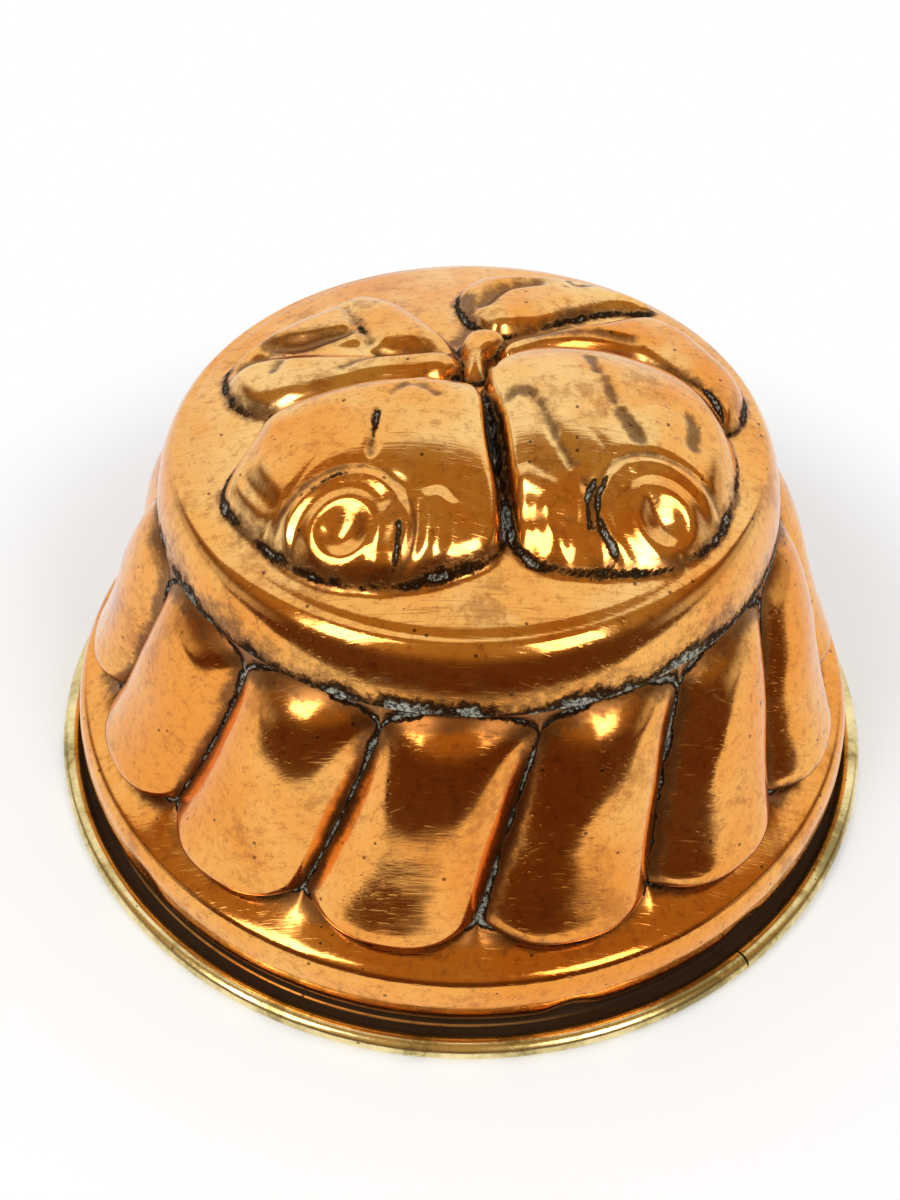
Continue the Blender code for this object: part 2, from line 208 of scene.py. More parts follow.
def quarter_round(share: np.ndarray) -> np.ndarray:
    """Quarter circle: zero and upright at share 0, one and level from share 1 on.

    The value is the root of 1 - (1 - share) squared, with the share held to 0 to 1.

    Args:
        share: how far along the rise each point lies.

    Returns:
        The height of each point, from 0 to 1.
    """
    return np.sqrt(1.0 - (1.0 - np.clip(share, 0.0, 1.0)) ** 2)


def bell(distance: np.ndarray) -> np.ndarray:
    """Smooth bump: the square of 1 - distance squared, and zero past distance 1."""
    return np.clip(1.0 - distance**2, 0.0, 1.0) ** 2


def fade(away: np.ndarray, reach: float) -> np.ndarray:
    """Even fall from 1 at distance 0 to 0 at the reach."""
    return np.clip(1.0 - away / reach, 0.0, 1.0)


def bent_run(
    share: float | np.ndarray,
    start: float | np.ndarray,
    bend: float,
    end: float,
) -> float | np.ndarray:
    """Quadratic curve between two values, drawn towards a third.

    The value is (1 - share) squared times the start, plus 2 share (1 - share) times the
    bend, plus share squared times the end.

    Args:
        share: 0 at the start, 1 at the end.
        start: value at the start.
        bend: value that the curve is drawn towards.
        end: value at the end.

    Returns:
        The value at the share.
    """
    return (1 - share) ** 2 * start + 2 * share * (1 - share) * bend + share**2 * end


def even_out(ring: np.ndarray, turns: int) -> np.ndarray:
    """Average a closed ring of values with their neighbours, weighted 1, 2, 1.

    Args:
        ring: values round the axis.
        turns: how often they are averaged.

    Returns:
        The smoother ring.
    """
    for _ in range(turns):
        ring = (np.roll(ring, 1) + 2 * ring + np.roll(ring, -1)) / 4
    return ring


def smooth_path(points: np.ndarray, closed: bool, steps: int = 6) -> np.ndarray:
    """Read a smooth curve through points.

    Each span is a cubic between two points. Its slope at either is half the step from
    the point before it to the point after.

    Args:
        points: the points that the curve passes, one row each.
        closed: whether the last point joins the first.
        steps: how many points each span gives.

    Returns:
        The points of the curve, in order.
    """
    if closed:
        padded = np.vstack([points[-1:], points, points[:2]])
    else:
        padded = np.vstack([points[:1], points, points[-1:]])
    before, start, end, after = padded[:-3], padded[1:-2], padded[2:-1], padded[3:]
    share = (np.arange(steps) / steps)[:, None, None]
    curve = 0.5 * (
        2 * start
        + (end - before) * share
        + (2 * before - 5 * start + 4 * end - after) * share**2
        + (3 * start - before - 3 * end + after) * share**3
    )
    curve = curve.transpose(1, 0, 2).reshape(-1, points.shape[1])
    return curve if closed else np.vstack([curve, points[-1:]])


def distance_to_path(x: np.ndarray, y: np.ndarray, path: np.ndarray) -> np.ndarray:
    """Shortest distance from each grid point to a broken line.

    For each stretch, the foot of the perpendicular is held between its two ends.

    Args:
        x: first coordinate of every grid point.
        y: second coordinate of every grid point.
        path: the corners of the line, one row each.

    Returns:
        The distance of every grid point.
    """
    nearest = np.full(x.shape, np.inf)
    for (start_x, start_y), (end_x, end_y) in zip(path[:-1], path[1:]):
        run_x = end_x - start_x
        run_y = end_y - start_y
        length = max(run_x**2 + run_y**2, TINY)
        share = np.clip(((x - start_x) * run_x + (y - start_y) * run_y) / length, 0.0, 1.0)
        away = np.hypot(x - start_x - share * run_x, y - start_y - share * run_y)
        nearest = np.minimum(nearest, away)
    return nearest


def inside_path(x: np.ndarray, y: np.ndarray, path: np.ndarray) -> np.ndarray:
    """Say which grid points a closed line goes round.

    A point is inside when a level ray from it crosses the line an odd number of times.

    Args:
        x: first coordinate of every grid point.
        y: second coordinate of every grid point.
        path: the corners of the closed line, its first corner again at the end.

    Returns:
        True for every grid point inside.
    """
    inside = np.zeros(x.shape, dtype=bool)
    for (start_x, start_y), (end_x, end_y) in zip(path[:-1], path[1:]):
        if start_y == end_y:
            continue
        crosses = (start_y > y) != (end_y > y)
        reach = start_x + (y - start_y) / (end_y - start_y) * (end_x - start_x)
        inside ^= crosses & (x < reach)
    return inside


def grid_normals(points: np.ndarray, wraps: bool) -> np.ndarray:
    """Unit normals of a grid of points.

    Each is the cross product of the central differences along the two grid directions.

    Args:
        points: rows by columns by 3 coordinates.
        wraps: whether the last column joins the first.

    Returns:
        One unit normal for each point.
    """
    down = np.gradient(points, axis=0)
    if wraps:
        along = np.roll(points, -1, axis=1) - np.roll(points, 1, axis=1)
    else:
        along = np.gradient(points, axis=1)
    normal = np.cross(down, along)
    length = np.linalg.norm(normal, axis=-1, keepdims=True)
    return normal / np.maximum(length, TINY)


def grid_faces(rows: int, columns: int, wraps: bool, start: int = 0) -> np.ndarray:
    """Four-cornered faces of a grid whose points are numbered row by row.

    Args:
        rows: number of rows of points.
        columns: number of points in a row.
        wraps: whether the last column joins the first.
        start: number of the grid's first point.

    Returns:
        One row of four point numbers for each face.
    """
    index = np.arange(rows * columns).reshape(rows, columns) + start
    if wraps:
        index = np.hstack([index, index[:, :1]])
    corners = [index[:-1, :-1], index[1:, :-1], index[1:, 1:], index[:-1, 1:]]
    return np.stack(corners, axis=-1).reshape(-1, 4)


def stitch(fine: np.ndarray, coarse: np.ndarray) -> np.ndarray:
    """Triangles that join a closed loop of points to one of half as many.

    Args:
        fine: point numbers of the closer loop, in order.
        coarse: point numbers of the other loop, each beside every second fine point.

    Returns:
        Three triangles for each stretch of the coarse loop.
    """
    first, middle, last = fine[0::2], fine[1::2], np.roll(fine[0::2], -1)
    following = np.roll(coarse, -1)
    fans = [
        np.stack([first, middle, coarse], axis=-1),
        np.stack([middle, following, coarse], axis=-1),
        np.stack([middle, last, following], axis=-1),
    ]
    return np.vstack(fans)


@dataclass
class SurfaceMesh:
    """Points and faces on their way to becoming a piece.

    Attributes:
        points: one row of three coordinates for each point, about the mould's axis.
        faces: lists of point numbers, anticlockwise seen from outside.
        slots: material slot of each face.
        masks: wear and painted shade at each point, from 0 to 1, by the name of its attribute.
    """

    points: np.ndarray
    faces: list
    slots: np.ndarray
    masks: dict = field(default_factory=dict)

    def to_object(self, name: str, sharp: float = 60.0) -> bpy.types.Object:
        """Make a smooth-shaded object at the origin, its place in its mesh.

        Args:
            name: name of the piece.
            sharp: angle in degrees past which an edge stays sharp.

        Returns:
            The new object, linked to the scene.
        """
        mesh = bpy.data.meshes.new(name)
        placed = self.points + np.array([0.0, AXIS_Y, 0.0])
        mesh.from_pydata(placed.tolist(), [], self.faces)
        mesh.polygons.foreach_set("material_index", self.slots.astype(np.int32))
        for label, mask in self.masks.items():
            layer = mesh.attributes.new(label, "FLOAT", "POINT")
            layer.data.foreach_set("value", mask.astype(np.float32))
        mesh.shade_smooth()
        mesh.set_sharp_from_angle(angle=math.radians(sharp))
        mesh.update()
        piece = bpy.data.objects.new(name, mesh)
        bpy.context.scene.collection.objects.link(piece)
        return piece


def place_piece(
    piece: bpy.types.Object, body: str, slot: Slot, materials: list, *nodes: str
) -> None:
    """Give a piece its materials and its body, and hide the solids that it stands for.

    Args:
        piece: the finished object.
        body: name of the body that it moves with.
        slot: material slot of the record that it takes its finish from; not used.
        materials: its materials, in the order of its faces' slots.
        nodes: names of the CAD nodes that it replaces.
    """
    for material in materials:
        piece.data.materials.append(material)
    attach(piece, body)
    if nodes:
        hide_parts(*nodes)
    LOG.info("%s: %d faces on %s", piece.name, len(piece.data.polygons), body)


def lined_sheet(
    name: str,
    outer: np.ndarray,
    inner: np.ndarray,
    masks: dict,
    edges: np.ndarray,
    materials: list,
    wraps: bool,
) -> bpy.types.Object:
    """Make a piece of the pressing: outer grid, edges and inner grid turned to face in.

    Args:
        name: name of the piece.
        outer: rows by columns by 3 coordinates of the copper face.
        inner: the same of the tinned face, with about half as many rows and columns.
        masks: wear and painted shade at each outer point, by name.
        edges: triangles that join the borders of the two grids.
        materials: finish of the copper and of the tin.
        wraps: whether the last column joins the first.

    Returns:
        The finished piece.
    """
    outer_count = outer.shape[0] * outer.shape[1]
    inner_count = inner.shape[0] * inner.shape[1]
    outer_faces = grid_faces(*outer.shape[:2], wraps=wraps)
    inner_faces = grid_faces(*inner.shape[:2], wraps=wraps, start=outer_count)[:, ::-1]
    faces = outer_faces.tolist() + edges.tolist() + inner_faces.tolist()
    slots = np.concatenate([np.zeros(len(outer_faces) + len(edges)), np.ones(len(inner_faces))])
    points = np.vstack([outer.reshape(-1, 3), inner.reshape(-1, 3)])
    masks = {label: np.pad(mask.ravel(), (0, inner_count)) for label, mask in masks.items()}
    piece = SurfaceMesh(points, faces, slots, masks).to_object(name)
    place_piece(piece, MOULD, Slot.COPPER, materials, "copper_shell")
    return piece


@dataclass(frozen=True)
class RaisedForm:
    """A fruit or leaf raised from the crown inside a closed outline.

    Attributes:
        outline: points that the outline passes, in millimetres.
        height: height of its middle above the crown, in millimetres.
        edge: distance in from the outline over which it rises, at its left and right end.
        crest: highest point of its dome, in millimetres.
        spread: reach of its dome to the left, right, front and back, in millimetres.
        least: least share of its height that the dome keeps.
    """

    outline: tuple
    height: float
    edge: tuple[float, float]
    crest: tuple[float, float] = (0.0, 0.0)
    spread: tuple[float, float, float, float] = (math.inf, math.inf, math.inf, math.inf)
    least: float = 0.1

    def path(self) -> np.ndarray:
        """The smooth outline, its first point again at the end."""
        curve = smooth_path(np.array(self.outline, dtype=float), closed=True)
        return np.vstack([curve, curve[:1]])

    def top(self, x: np.ndarray, y: np.ndarray) -> np.ndarray:
        """Height of the dome: one less the square of the reach, but never under the least.

        Args:
            x: millimetres to the right of the axis.
            y: millimetres behind the axis.

        Returns:
            The height in millimetres.
        """
        left, right, front, back = self.spread
        across = x - self.crest[0]
        along = y - self.crest[1]
        reach = (across / np.where(across < 0, left, right)) ** 2
        reach = reach + (along / np.where(along < 0, front, back)) ** 2
        return self.height * np.maximum(1.0 - reach, self.least)


@dataclass(frozen=True)
class Crease:
    """A groove, or with a negative depth a ridge, pressed along a line.

    Attributes:
        line: points that the line passes, in millimetres.
        half_width: half its width, in millimetres.
        depth: depth at its middle, in millimetres.
        residue: how much dried polish it holds, from 0 to 1.
        stain: how brown it is round about, from 0 to 1.
    """

    line: tuple
    half_width: float
    depth: float
    residue: float = 0.0
    stain: float = 0.0


@dataclass(frozen=True)
class Band:
    """A smooth ring round a whorl, or a spot where its crest is in the middle.

    Attributes:
        crest: where it is strongest, as a share of the whorl's radii.
        half_width: how far it reaches either way, as a share of the radii.
        amount: its height in millimetres, or how stained it is, from 0 to 1.
    """

    crest: float
    half_width: float
    amount: float

    def at(self, reach: np.ndarray) -> np.ndarray:
        """Value at a share of the radii: the amount times a bell about its crest."""
        return self.amount * bell((reach - self.crest) / self.half_width)


@dataclass(frozen=True)
class Whorl:
    """The round end of a fruit: a raised ring round a dimple, inside a rim.

    Attributes:
        centre: its middle, in millimetres.
        radii: its reach to the side and to the front, in millimetres.
        dimple: the hollow in its middle.
    """

    centre: tuple[float, float]
    radii: tuple[float, float]
    dimple: Band

    def reach(self, x: np.ndarray, y: np.ndarray) -> np.ndarray:
        """Distance of points from its middle, as a share of its radii."""
        return np.hypot((x - self.centre[0]) / self.radii[0], (y - self.centre[1]) / self.radii[1])


@dataclass(frozen=True)
class Dent:
    """A knock in the roll of the skirt.

    Attributes:
        angle: where it lies round the axis.
        height: height of its middle above the table.
        depth: depth of its middle.
        half_width: half its width along the skirt.
        half_height: half its height.
    """

    angle: float
    height: float
    depth: float
    half_width: float
    half_height: float = 0.005

    def at(self, angle: np.ndarray, radius: np.ndarray, height: float) -> np.ndarray:
        """Depth at points of the skirt: a bell over the distance in half widths and heights.

        Args:
            angle: angle of each point round the axis.
            radius: distance of each point from the axis.
            height: height of the points.

        Returns:
            The depth at each point.
        """
        aside = (np.mod(angle - self.angle + math.pi, TURN) - math.pi) * radius
        rise = height - self.height
        return self.depth * bell(np.hypot(aside / self.half_width, rise / self.half_height))


LEFT_FRUIT = RaisedForm(
    (
        (-41, -6.4), (-48.3, -18), (-51.2, -29.3), (-44, -39.3), (-33.6, -49.1), (-22, -53.4),
        (-8, -53), (5.4, -47.4), (7.2, -38.5), (5, -26.5), (1, -5), (-13.3, -3), (-27.3, -4),
    ),
    height=14.6,
    edge=(5.0, 2.4),
    crest=(-15.0, -17.5),
    spread=(44.0, 40.0, 41.5, 17.0),
)
RIGHT_FRUIT = RaisedForm(
    (
        (10.2, -45.4), (19.3, -49.3), (33.1, -48.1), (43, -44.6), (52.4, -34.2), (57.2, -14.8),
        (52.7, 0.5), (44.4, 8.7), (33.9, 13.5), (19.2, 13.2), (8.5, 6), (2.2, -4.3),
        (4.9, -19), (7.3, -33),
    ),
    height=14.2,
    edge=(2.4, 6.5),
    crest=(25.0, -10.0),
    spread=(40.0, 40.0, 42.0, 27.0),
)
LEFT_LEAF = RaisedForm(
    (
        (-56.6, 13.5), (-54, 3), (-48.6, -2.6), (-41, -5.6), (-32.3, -4.8), (-21.6, -2.3),
        (-9, -1.5), (-2.9, 3.3), (-3.1, 11.6), (-8.4, 20.6), (-14.8, 30.4), (-21.1, 36.5),
        (-28.5, 38.5), (-37.5, 32.5), (-47, 26.5), (-53, 19.5),
    ),
    height=6.4,
    edge=(9.5, 6.0),
)
RIGHT_LEAF = RaisedForm(
    (
        (5.5, 9), (8.5, 7.2), (14.9, 11.5), (24.6, 14.4), (33.9, 14), (39.5, 11), (46.3, 3.9),
        (50.3, -2.6), (56.3, -5.3), (60, 0), (61.5, 8), (60.1, 14.5), (56, 21), (50.5, 28.5),
        (42, 33.5), (35, 31.3), (27, 26), (16.6, 20.6), (7.5, 14.8),
    ),
    height=6.2,
    edge=(5.0, 8.0),
)
BACK_LEAF = RaisedForm(
    (
        (4.8, 21.2), (11.9, 23.4), (20.4, 29.4), (30.5, 35.8), (40, 39), (43.5, 43),
        (36, 46.5), (24, 50.5), (12, 51), (2, 48.8), (-3, 43.5), (-4.2, 37), (-1.5, 28),
    ),
    height=5.0,
    edge=(6.0, 7.5),
)
STEM = RaisedForm(
    (
        (-3.2, 12.4), (-2.2, 17.2), (1.8, 19.4), (6.6, 18.4), (8, 15), (5.6, 11.2), (3, 8.4),
        (2.8, 2.6), (-1.4, 2.4), (-2.2, 8.2),
    ),
    height=5.6,
    edge=(2.6, 2.6),
    crest=(2.5, 15.0),
    spread=(12.0, 12.0, 14.0, 10.0),
)
RAISED_FORMS = (LEFT_FRUIT, RIGHT_FRUIT, LEFT_LEAF, RIGHT_LEAF, BACK_LEAF, STEM)

CREASES = (
    # Folds, veins and marks of the leaves
    Crease(((-54, 12.6), (-44, 13.2), (-34, 12), (-21.4, 9.6), (-6, 10.2)), 5.0, 2.3),
    Crease(((-29.9, 30.1), (-26.5, 21.5), (-22.9, 13.6)), 2.2, 1.7, 0.7, 0.8),
    Crease(((-21.2, 9.5), (-13.9, 8.5), (-7.5, 9)), 2.0, 1.4, 0.5, 0.9),
    Crease(((-53, 13), (-47, 13.4)), 1.6, 0.8, 0.5, 0.9),
    Crease(((-45.5, 17.5), (-38, 16.5), (-29.5, 17.5)), 3.4, 2.2, 0.0, 1.0),
    Crease(((-44, 4.8), (-42.6, 8.4)), 1.5, 0.8, 0.5, 0.8),
    Crease(((-28.7, 3.1), (-21.5, 7.1)), 1.5, 0.8, 0.5, 0.8),
    Crease(((2.2, 31.9), (6.7, 40.1), (14.6, 44.1)), 3.0, 2.0, 0.0, 1.0),
    # Dark marks on the fruits
    Crease(((-18.8, -22.2), (-19.8, -31.4)), 1.5, 0.9, 0.75, 0.8),
    Crease(((-16.5, -17.1), (-12.3, -14), (-7, -17.4)), 1.6, 0.8, 0.5, 0.9),
    Crease(((7.8, -15), (9.6, -13.6), (12.7, -15.2)), 1.6, 0.8, 0.7, 1.0),
    Crease(((14.2, -17.4), (15.2, -19.6), (17.3, -25.6)), 1.5, 0.8, 0.55, 1.0),
    Crease(((18.5, -27.7), (20.4, -31.2)), 1.6, 0.8, 0.7, 0.8),
    Crease(((22.4, -33.6), (24.1, -35.9)), 1.6, 0.8, 0.7, 0.8),
    Crease(((24.8, -2.4), (25.9, -8)), 1.7, 0.7, 0.5, 1.0),
    Crease(((27.6, -10.9), (29.1, -16.1)), 1.7, 0.8, 0.6, 1.0),
    Crease(((30.6, -18.4), (33.9, -24)), 1.7, 0.8, 0.55, 1.0),
    Crease(((45.6, -13.7), (46.2, -17.4), (45.9, -21)), 1.7, 0.8, 0.5, 1.0),
    # Hollow, ridges and fine lines down the fronts of the fruits
    Crease(((-44, -17), (-46, -27.5), (-40, -37)), 2.8, 1.1),
    Crease(((-15.1, -43.5), (-17.6, -52.5)), 2.8, -1.2),
    Crease(((-5.8, -41), (-7, -53)), 3.8, -1.3),
    Crease(((16, -40), (18.6, -49.5)), 3.4, -1.2),
    Crease(((24, -38), (28, -48.5)), 3.0, -1.2),
    Crease(((11, -33.5), (17, -36.5)), 2.4, -0.8),
    Crease(((9.4, -40.6), (21.2, -41.5)), 1.6, 0.6, 0.0, 0.6),
    Crease(((-15.3, -37.3), (1.7, -40.1)), 1.6, 0.5, 0.0, 0.5),
    # Small ring on the back leaf, and the stained edges of the leaves
    Crease(
        ((22.2, 45.1), (25, 49.5), (28.4, 48.8), (28, 45), (24.6, 42.8), (22.2, 45.1)),
        0.9, 0.4, 0.3, 0.9,
    ),
    Crease(((8, 13.4), (16, 16.5), (26, 19), (36, 18)), 1.8, 0.7, 0.3, 0.9),
    Crease(((6.4, 20.6), (14, 23.2), (22, 28)), 2.4, 1.2, 0.5, 1.0),
    Crease(((-3.6, 19), (-1, 26), (-2, 36)), 3.0, 1.0, 0.0, 0.95),
    # Dried polish beside the whorls
    Crease(((27.4, -33.5), (25.8, -37.5), (26, -42), (29.5, -46.6)), 1.6, 0.4, 1.04, 0.6),
    Crease(((25, -34.2), (23.6, -38), (24.2, -42.6)), 1.6, 0.3, 0.98, 0.6),
    Crease(((-13.2, -45.8), (-13.8, -51.5)), 1.5, 0.4, 0.9, 0.4),
    Crease(((-31, -37.2), (-25, -35.4), (-18.6, -37.6)), 1.3, 0.3, 0.75, 0.5),
)

WHORLS = (
    Whorl((-24.6, -45.8), (12.4, 10.2), dimple=Band(0.0, 0.44, -2.0)),
    Whorl((39.3, -38.8), (12.6, 10.4), dimple=Band(0.0, 0.44, -1.9)),
)
WHORL_RINGS = (Band(0.52, 0.25, 0.9), Band(0.97, 0.18, 0.9), Band(1.18, 0.14, -0.5))
WHORL_STAINS = (Band(1.16, 0.16, 0.7), Band(0.0, 0.4, 0.5))

DENTS = (
    Dent(math.radians(-74.5), height=0.0068, depth=0.0015, half_width=0.0075),
    Dent(math.radians(-48.0), height=0.0075, depth=0.0016, half_width=0.008),
    Dent(math.radians(-137.0), height=0.012, depth=0.0006, half_width=0.010),
)


@dataclass
class CrownSheet:
    """The crown: a dome with a softened shoulder, fruit and leaves raised from it.

    Attributes:
        sizes: sizes that the pieces share.
        cells: cells along a side of the square grid that is bent to the crown's disc.
        passes: how often the relief is smoothed, as sheet rounds every edge.
        cap_points: points of the section from the axis to the crease.
        shoulder_points: points of the section from the crease to the foot.
        cap_rise: height of the cap's middle above the crease.
        cap_fullness: power of the radius by which the cap falls.
        crease_depth: depth of the fine crease between cap and shoulder.
        crease_half_width: half the width of that crease.
        shoulder_bend: how far out and down the point lies that the shoulder is drawn towards.
        tilt: how steeply the crown rises to the right and to the back.
        edge_power: above 1 it softens the foot of a form's edge.
        full_cover: height of relief, in millimetres, that takes creases at full depth.
        reach: how far dirt may spread from a crevice, in millimetres.
        form_residue: residue at a form's outline.
        form_stain: stain at a form's outline.
        stain_spread: how many times further than dirt the stain spreads.
        shoulder_shade: painted shade at the foot of the shoulder.
        foot_reach: how far dirt spreads in from the foot, in millimetres.
    """

    sizes: MouldSizes = SIZES
    cells: int = 272
    passes: int = 3
    cap_points: int = 400
    shoulder_points: int = 240
    cap_rise: float = 0.0095
    cap_fullness: float = 1.7
    crease_depth: float = 0.0003
    crease_half_width: float = 0.0016
    shoulder_bend: tuple[float, float] = (0.0054, 0.0021)
    tilt: tuple[float, float] = (0.022, 0.012)
    edge_power: float = 1.15
    full_cover: float = 2.0
    reach: float = 2.5
    form_residue: float = 0.92
    form_stain: float = 0.85
    stain_spread: float = 1.5
    # Painted shade down the shoulder, strongest at its foot
    shoulder_shade: float = 0.75
    foot_reach: float = 1.5

    def profile(self) -> tuple[np.ndarray, np.ndarray]:
        """Section of the plain crown from the axis to the foot of the shoulder.

        The cap falls by a power of the radius. The shoulder is a quadratic curve, and the
        point that it is drawn towards gives it its slopes at the crease and at its foot.

        Returns:
            The radii and the heights.
        """
        edge_radius, edge_z = self.sizes.field_edge
        inner = np.linspace(0.0, edge_radius, self.cap_points)[:-1]
        cap = edge_z + self.cap_rise * (1.0 - (inner / edge_radius) ** self.cap_fullness)
        share = np.linspace(0.0, 1.0, self.shoulder_points)
        out, down = self.shoulder_bend
        outer = bent_run(share, edge_radius, edge_radius + out, self.sizes.crown_radius)
        roll = bent_run(share, edge_z, edge_z - down, self.sizes.shoulder_foot)
        return np.concatenate([inner, outer]), np.concatenate([cap, roll])

    def dome(self, x: np.ndarray, y: np.ndarray) -> np.ndarray:
        """Height of the plain crown: its section, less the crease, and its tilt.

        The tilt fades out over the shoulder, whose foot stays level.

        Args:
            x: distance to the right of the axis.
            y: distance behind the axis.

        Returns:
            The height of each point above the table.
        """
        edge_radius = self.sizes.field_edge[0]
        radius = np.hypot(x, y)
        height = np.interp(radius, *self.profile())
        tilt = self.tilt[0] * x + self.tilt[1] * y
        tilt = tilt * np.interp(radius, [edge_radius, self.sizes.crown_radius], [1.0, 0.0])
        crease = self.crease_depth * bell((radius - edge_radius) / self.crease_half_width)
        return height + tilt - crease

    def raise_forms(self, x: np.ndarray, y: np.ndarray) -> tuple[np.ndarray, ...]:
        """Height, residue and stain of the fruit, leaves and stem.

        Over its edge's width, which changes evenly from left to right, a form rises by a
        power of a quarter round to the height of its dome. The highest form wins.

        Args:
            x: millimetres to the right of the axis.
            y: millimetres behind the axis.

        Returns:
            The height in millimetres, the residue and the stain, from 0 to 1.
        """
        height, residue, stain = np.zeros((3, *x.shape))
        for form in RAISED_FORMS:
            path = form.path()
            away = distance_to_path(x, y, path)
            within = np.where(inside_path(x, y, path), away, 0.0)
            edge = np.interp(x, (path[:, 0].min(), path[:, 0].max()), form.edge)
            rise = quarter_round(within / edge) ** self.edge_power
            height = np.maximum(height, form.top(x, y) * rise)
            residue = np.maximum(residue, self.form_residue * fade(away, self.reach))
            stain = np.maximum(stain, self.form_stain * fade(away, self.stain_spread * self.reach))
        return height, residue, stain

    def relief(self, x: np.ndarray, y: np.ndarray) -> tuple[np.ndarray, dict]:
        """Height of the fruit and leaves, and the wear and painted shade of the crown.

        Creases, ridges and the whorls are smooth bumps and hollows on the raised forms,
        and fade out where the relief is low. A crease stains the metal up to twice its half
        width away, and painted shade darkens the shoulder by the square of the way down it.

        Args:
            x: millimetres to the right of the axis.
            y: millimetres behind the axis.

        Returns:
            The height in millimetres, and the masks of residue and of stain with the shoulder's
            painted shade, from 0 to 1.
        """
        height, residue, stain = self.raise_forms(x, y)
        covered = np.clip(height / self.full_cover, 0.0, 1.0)
        for crease in CREASES:
            line = smooth_path(np.array(crease.line, dtype=float), closed=False)
            away = distance_to_path(x, y, line)
            height = height - crease.depth * bell(away / crease.half_width) * covered
            residue = np.maximum(residue, crease.residue * fade(away, self.reach))
            stain = np.maximum(stain, crease.stain * fade(away, 2 * crease.half_width))
        for whorl in WHORLS:
            reach = whorl.reach(x, y)
            height = height + covered * sum(band.at(reach) for band in (whorl.dimple, *WHORL_RINGS))
            for band in WHORL_STAINS:
                stain = np.maximum(stain, band.at(reach) * covered)
        radius = np.hypot(x, y) * MM
        edge, foot = self.sizes.field_edge[0], self.sizes.crown_radius
        below = np.clip((radius - edge) / (foot - edge), 0.0, 1.0)
        # Painted shade: darker down the shoulder by the square of the way, put into the stain mask
        stain = np.maximum(stain, self.shoulder_shade * below**2)
        residue = np.maximum(residue, fade((foot - radius) / MM, self.foot_reach))
        return height, {"residue": residue, "stain": stain}

    def soften(self, grid: np.ndarray) -> np.ndarray:
        """Average each point with its neighbours, weighted 1, 2, 1 both ways.

        Args:
            grid: heights of the relief.

        Returns:
            The smoother heights.
        """
        for _ in range(self.passes):
            wide = np.pad(grid, 1, mode="edge")
            across = wide[:-2] + 2 * wide[1:-1] + wide[2:]
            grid = (across[:, :-2] + 2 * across[:, 1:-1] + across[:, 2:]) / 16
        return grid

    def surface(self) -> tuple[np.ndarray, dict]:
        """The outer surface on a square grid bent to a disc.

        A grid point's ring is the larger of its two coordinates. Its angle grows evenly
        along the ring's side, and the rings are evenly spaced along the crown's section.

        Returns:
            Grid points, and the masks at each.
        """
        side = np.linspace(-1.0, 1.0, self.cells + 1)
        a, b = np.meshgrid(side, side, indexing="ij")
        wide = np.abs(a) > np.abs(b)
        reach = np.where(wide, a, b)
        safe = np.where(reach == 0.0, 1.0, reach)
        turn = np.where(wide, math.pi / 4 * b / safe, math.pi / 2 - math.pi / 4 * a / safe)
        table, heights = self.profile()
        run = np.concatenate([[0.0], np.cumsum(np.hypot(np.diff(table), np.diff(heights)))])
        radius = np.interp(np.abs(reach), run / run[-1], table)
        x = radius * np.sign(reach) * np.cos(turn)
        y = radius * np.sign(reach) * np.sin(turn)
        height, masks = self.relief(x / MM, y / MM)
        z = self.dome(x, y) + self.soften(height) * MM
        return np.stack([x, y, z], axis=-1), masks

    def build(self, copper: bpy.types.Material, tin: bpy.types.Material) -> bpy.types.Object:
        """Make the crown: outer grid, inner grid of half as many cells, and their edge.

        Args:
            copper: finish of the outer face and the edge.
            tin: finish of the lining.

        Returns:
            The finished piece.
        """
        outer, masks = self.surface()
        normal = grid_normals(outer, wraps=False)
        # The grid is bent straight at its corners, so a level normal from further in stands there
        further_in = {0: 2, -1: -3}
        for row, column in product(further_in, repeat=2):
            level = normal[further_in[row], further_in[column]] * (1, 1, 0)
            normal[row, column] = level / np.linalg.norm(level)
        inner = (outer - self.sizes.sheet * normal)[::2, ::2]
        count, half = outer.shape[0], inner.shape[0]
        edges = stitch(self.loop(count), self.loop(half) + count**2)[:, ::-1]
        return lined_sheet("crown_sheet", outer, inner, masks, edges, [copper, tin], wraps=False)

    def loop(self, count: int) -> np.ndarray:
        """Point numbers round the edge of a square grid, in order.

        Args:
            count: number of points along a side.

        Returns:
            The edge's point numbers, anticlockwise in the grid's own directions.
        """
        index = np.arange(count**2).reshape(count, count)
        sides = (index[:-1, 0], index[-1, :-1], index[:0:-1, -1], index[0, :0:-1])
        return np.concatenate(sides)


# Points round the axis, with their distance from a crevice in millimetres and their painted shade
Row = tuple[np.ndarray, np.ndarray, np.ndarray]


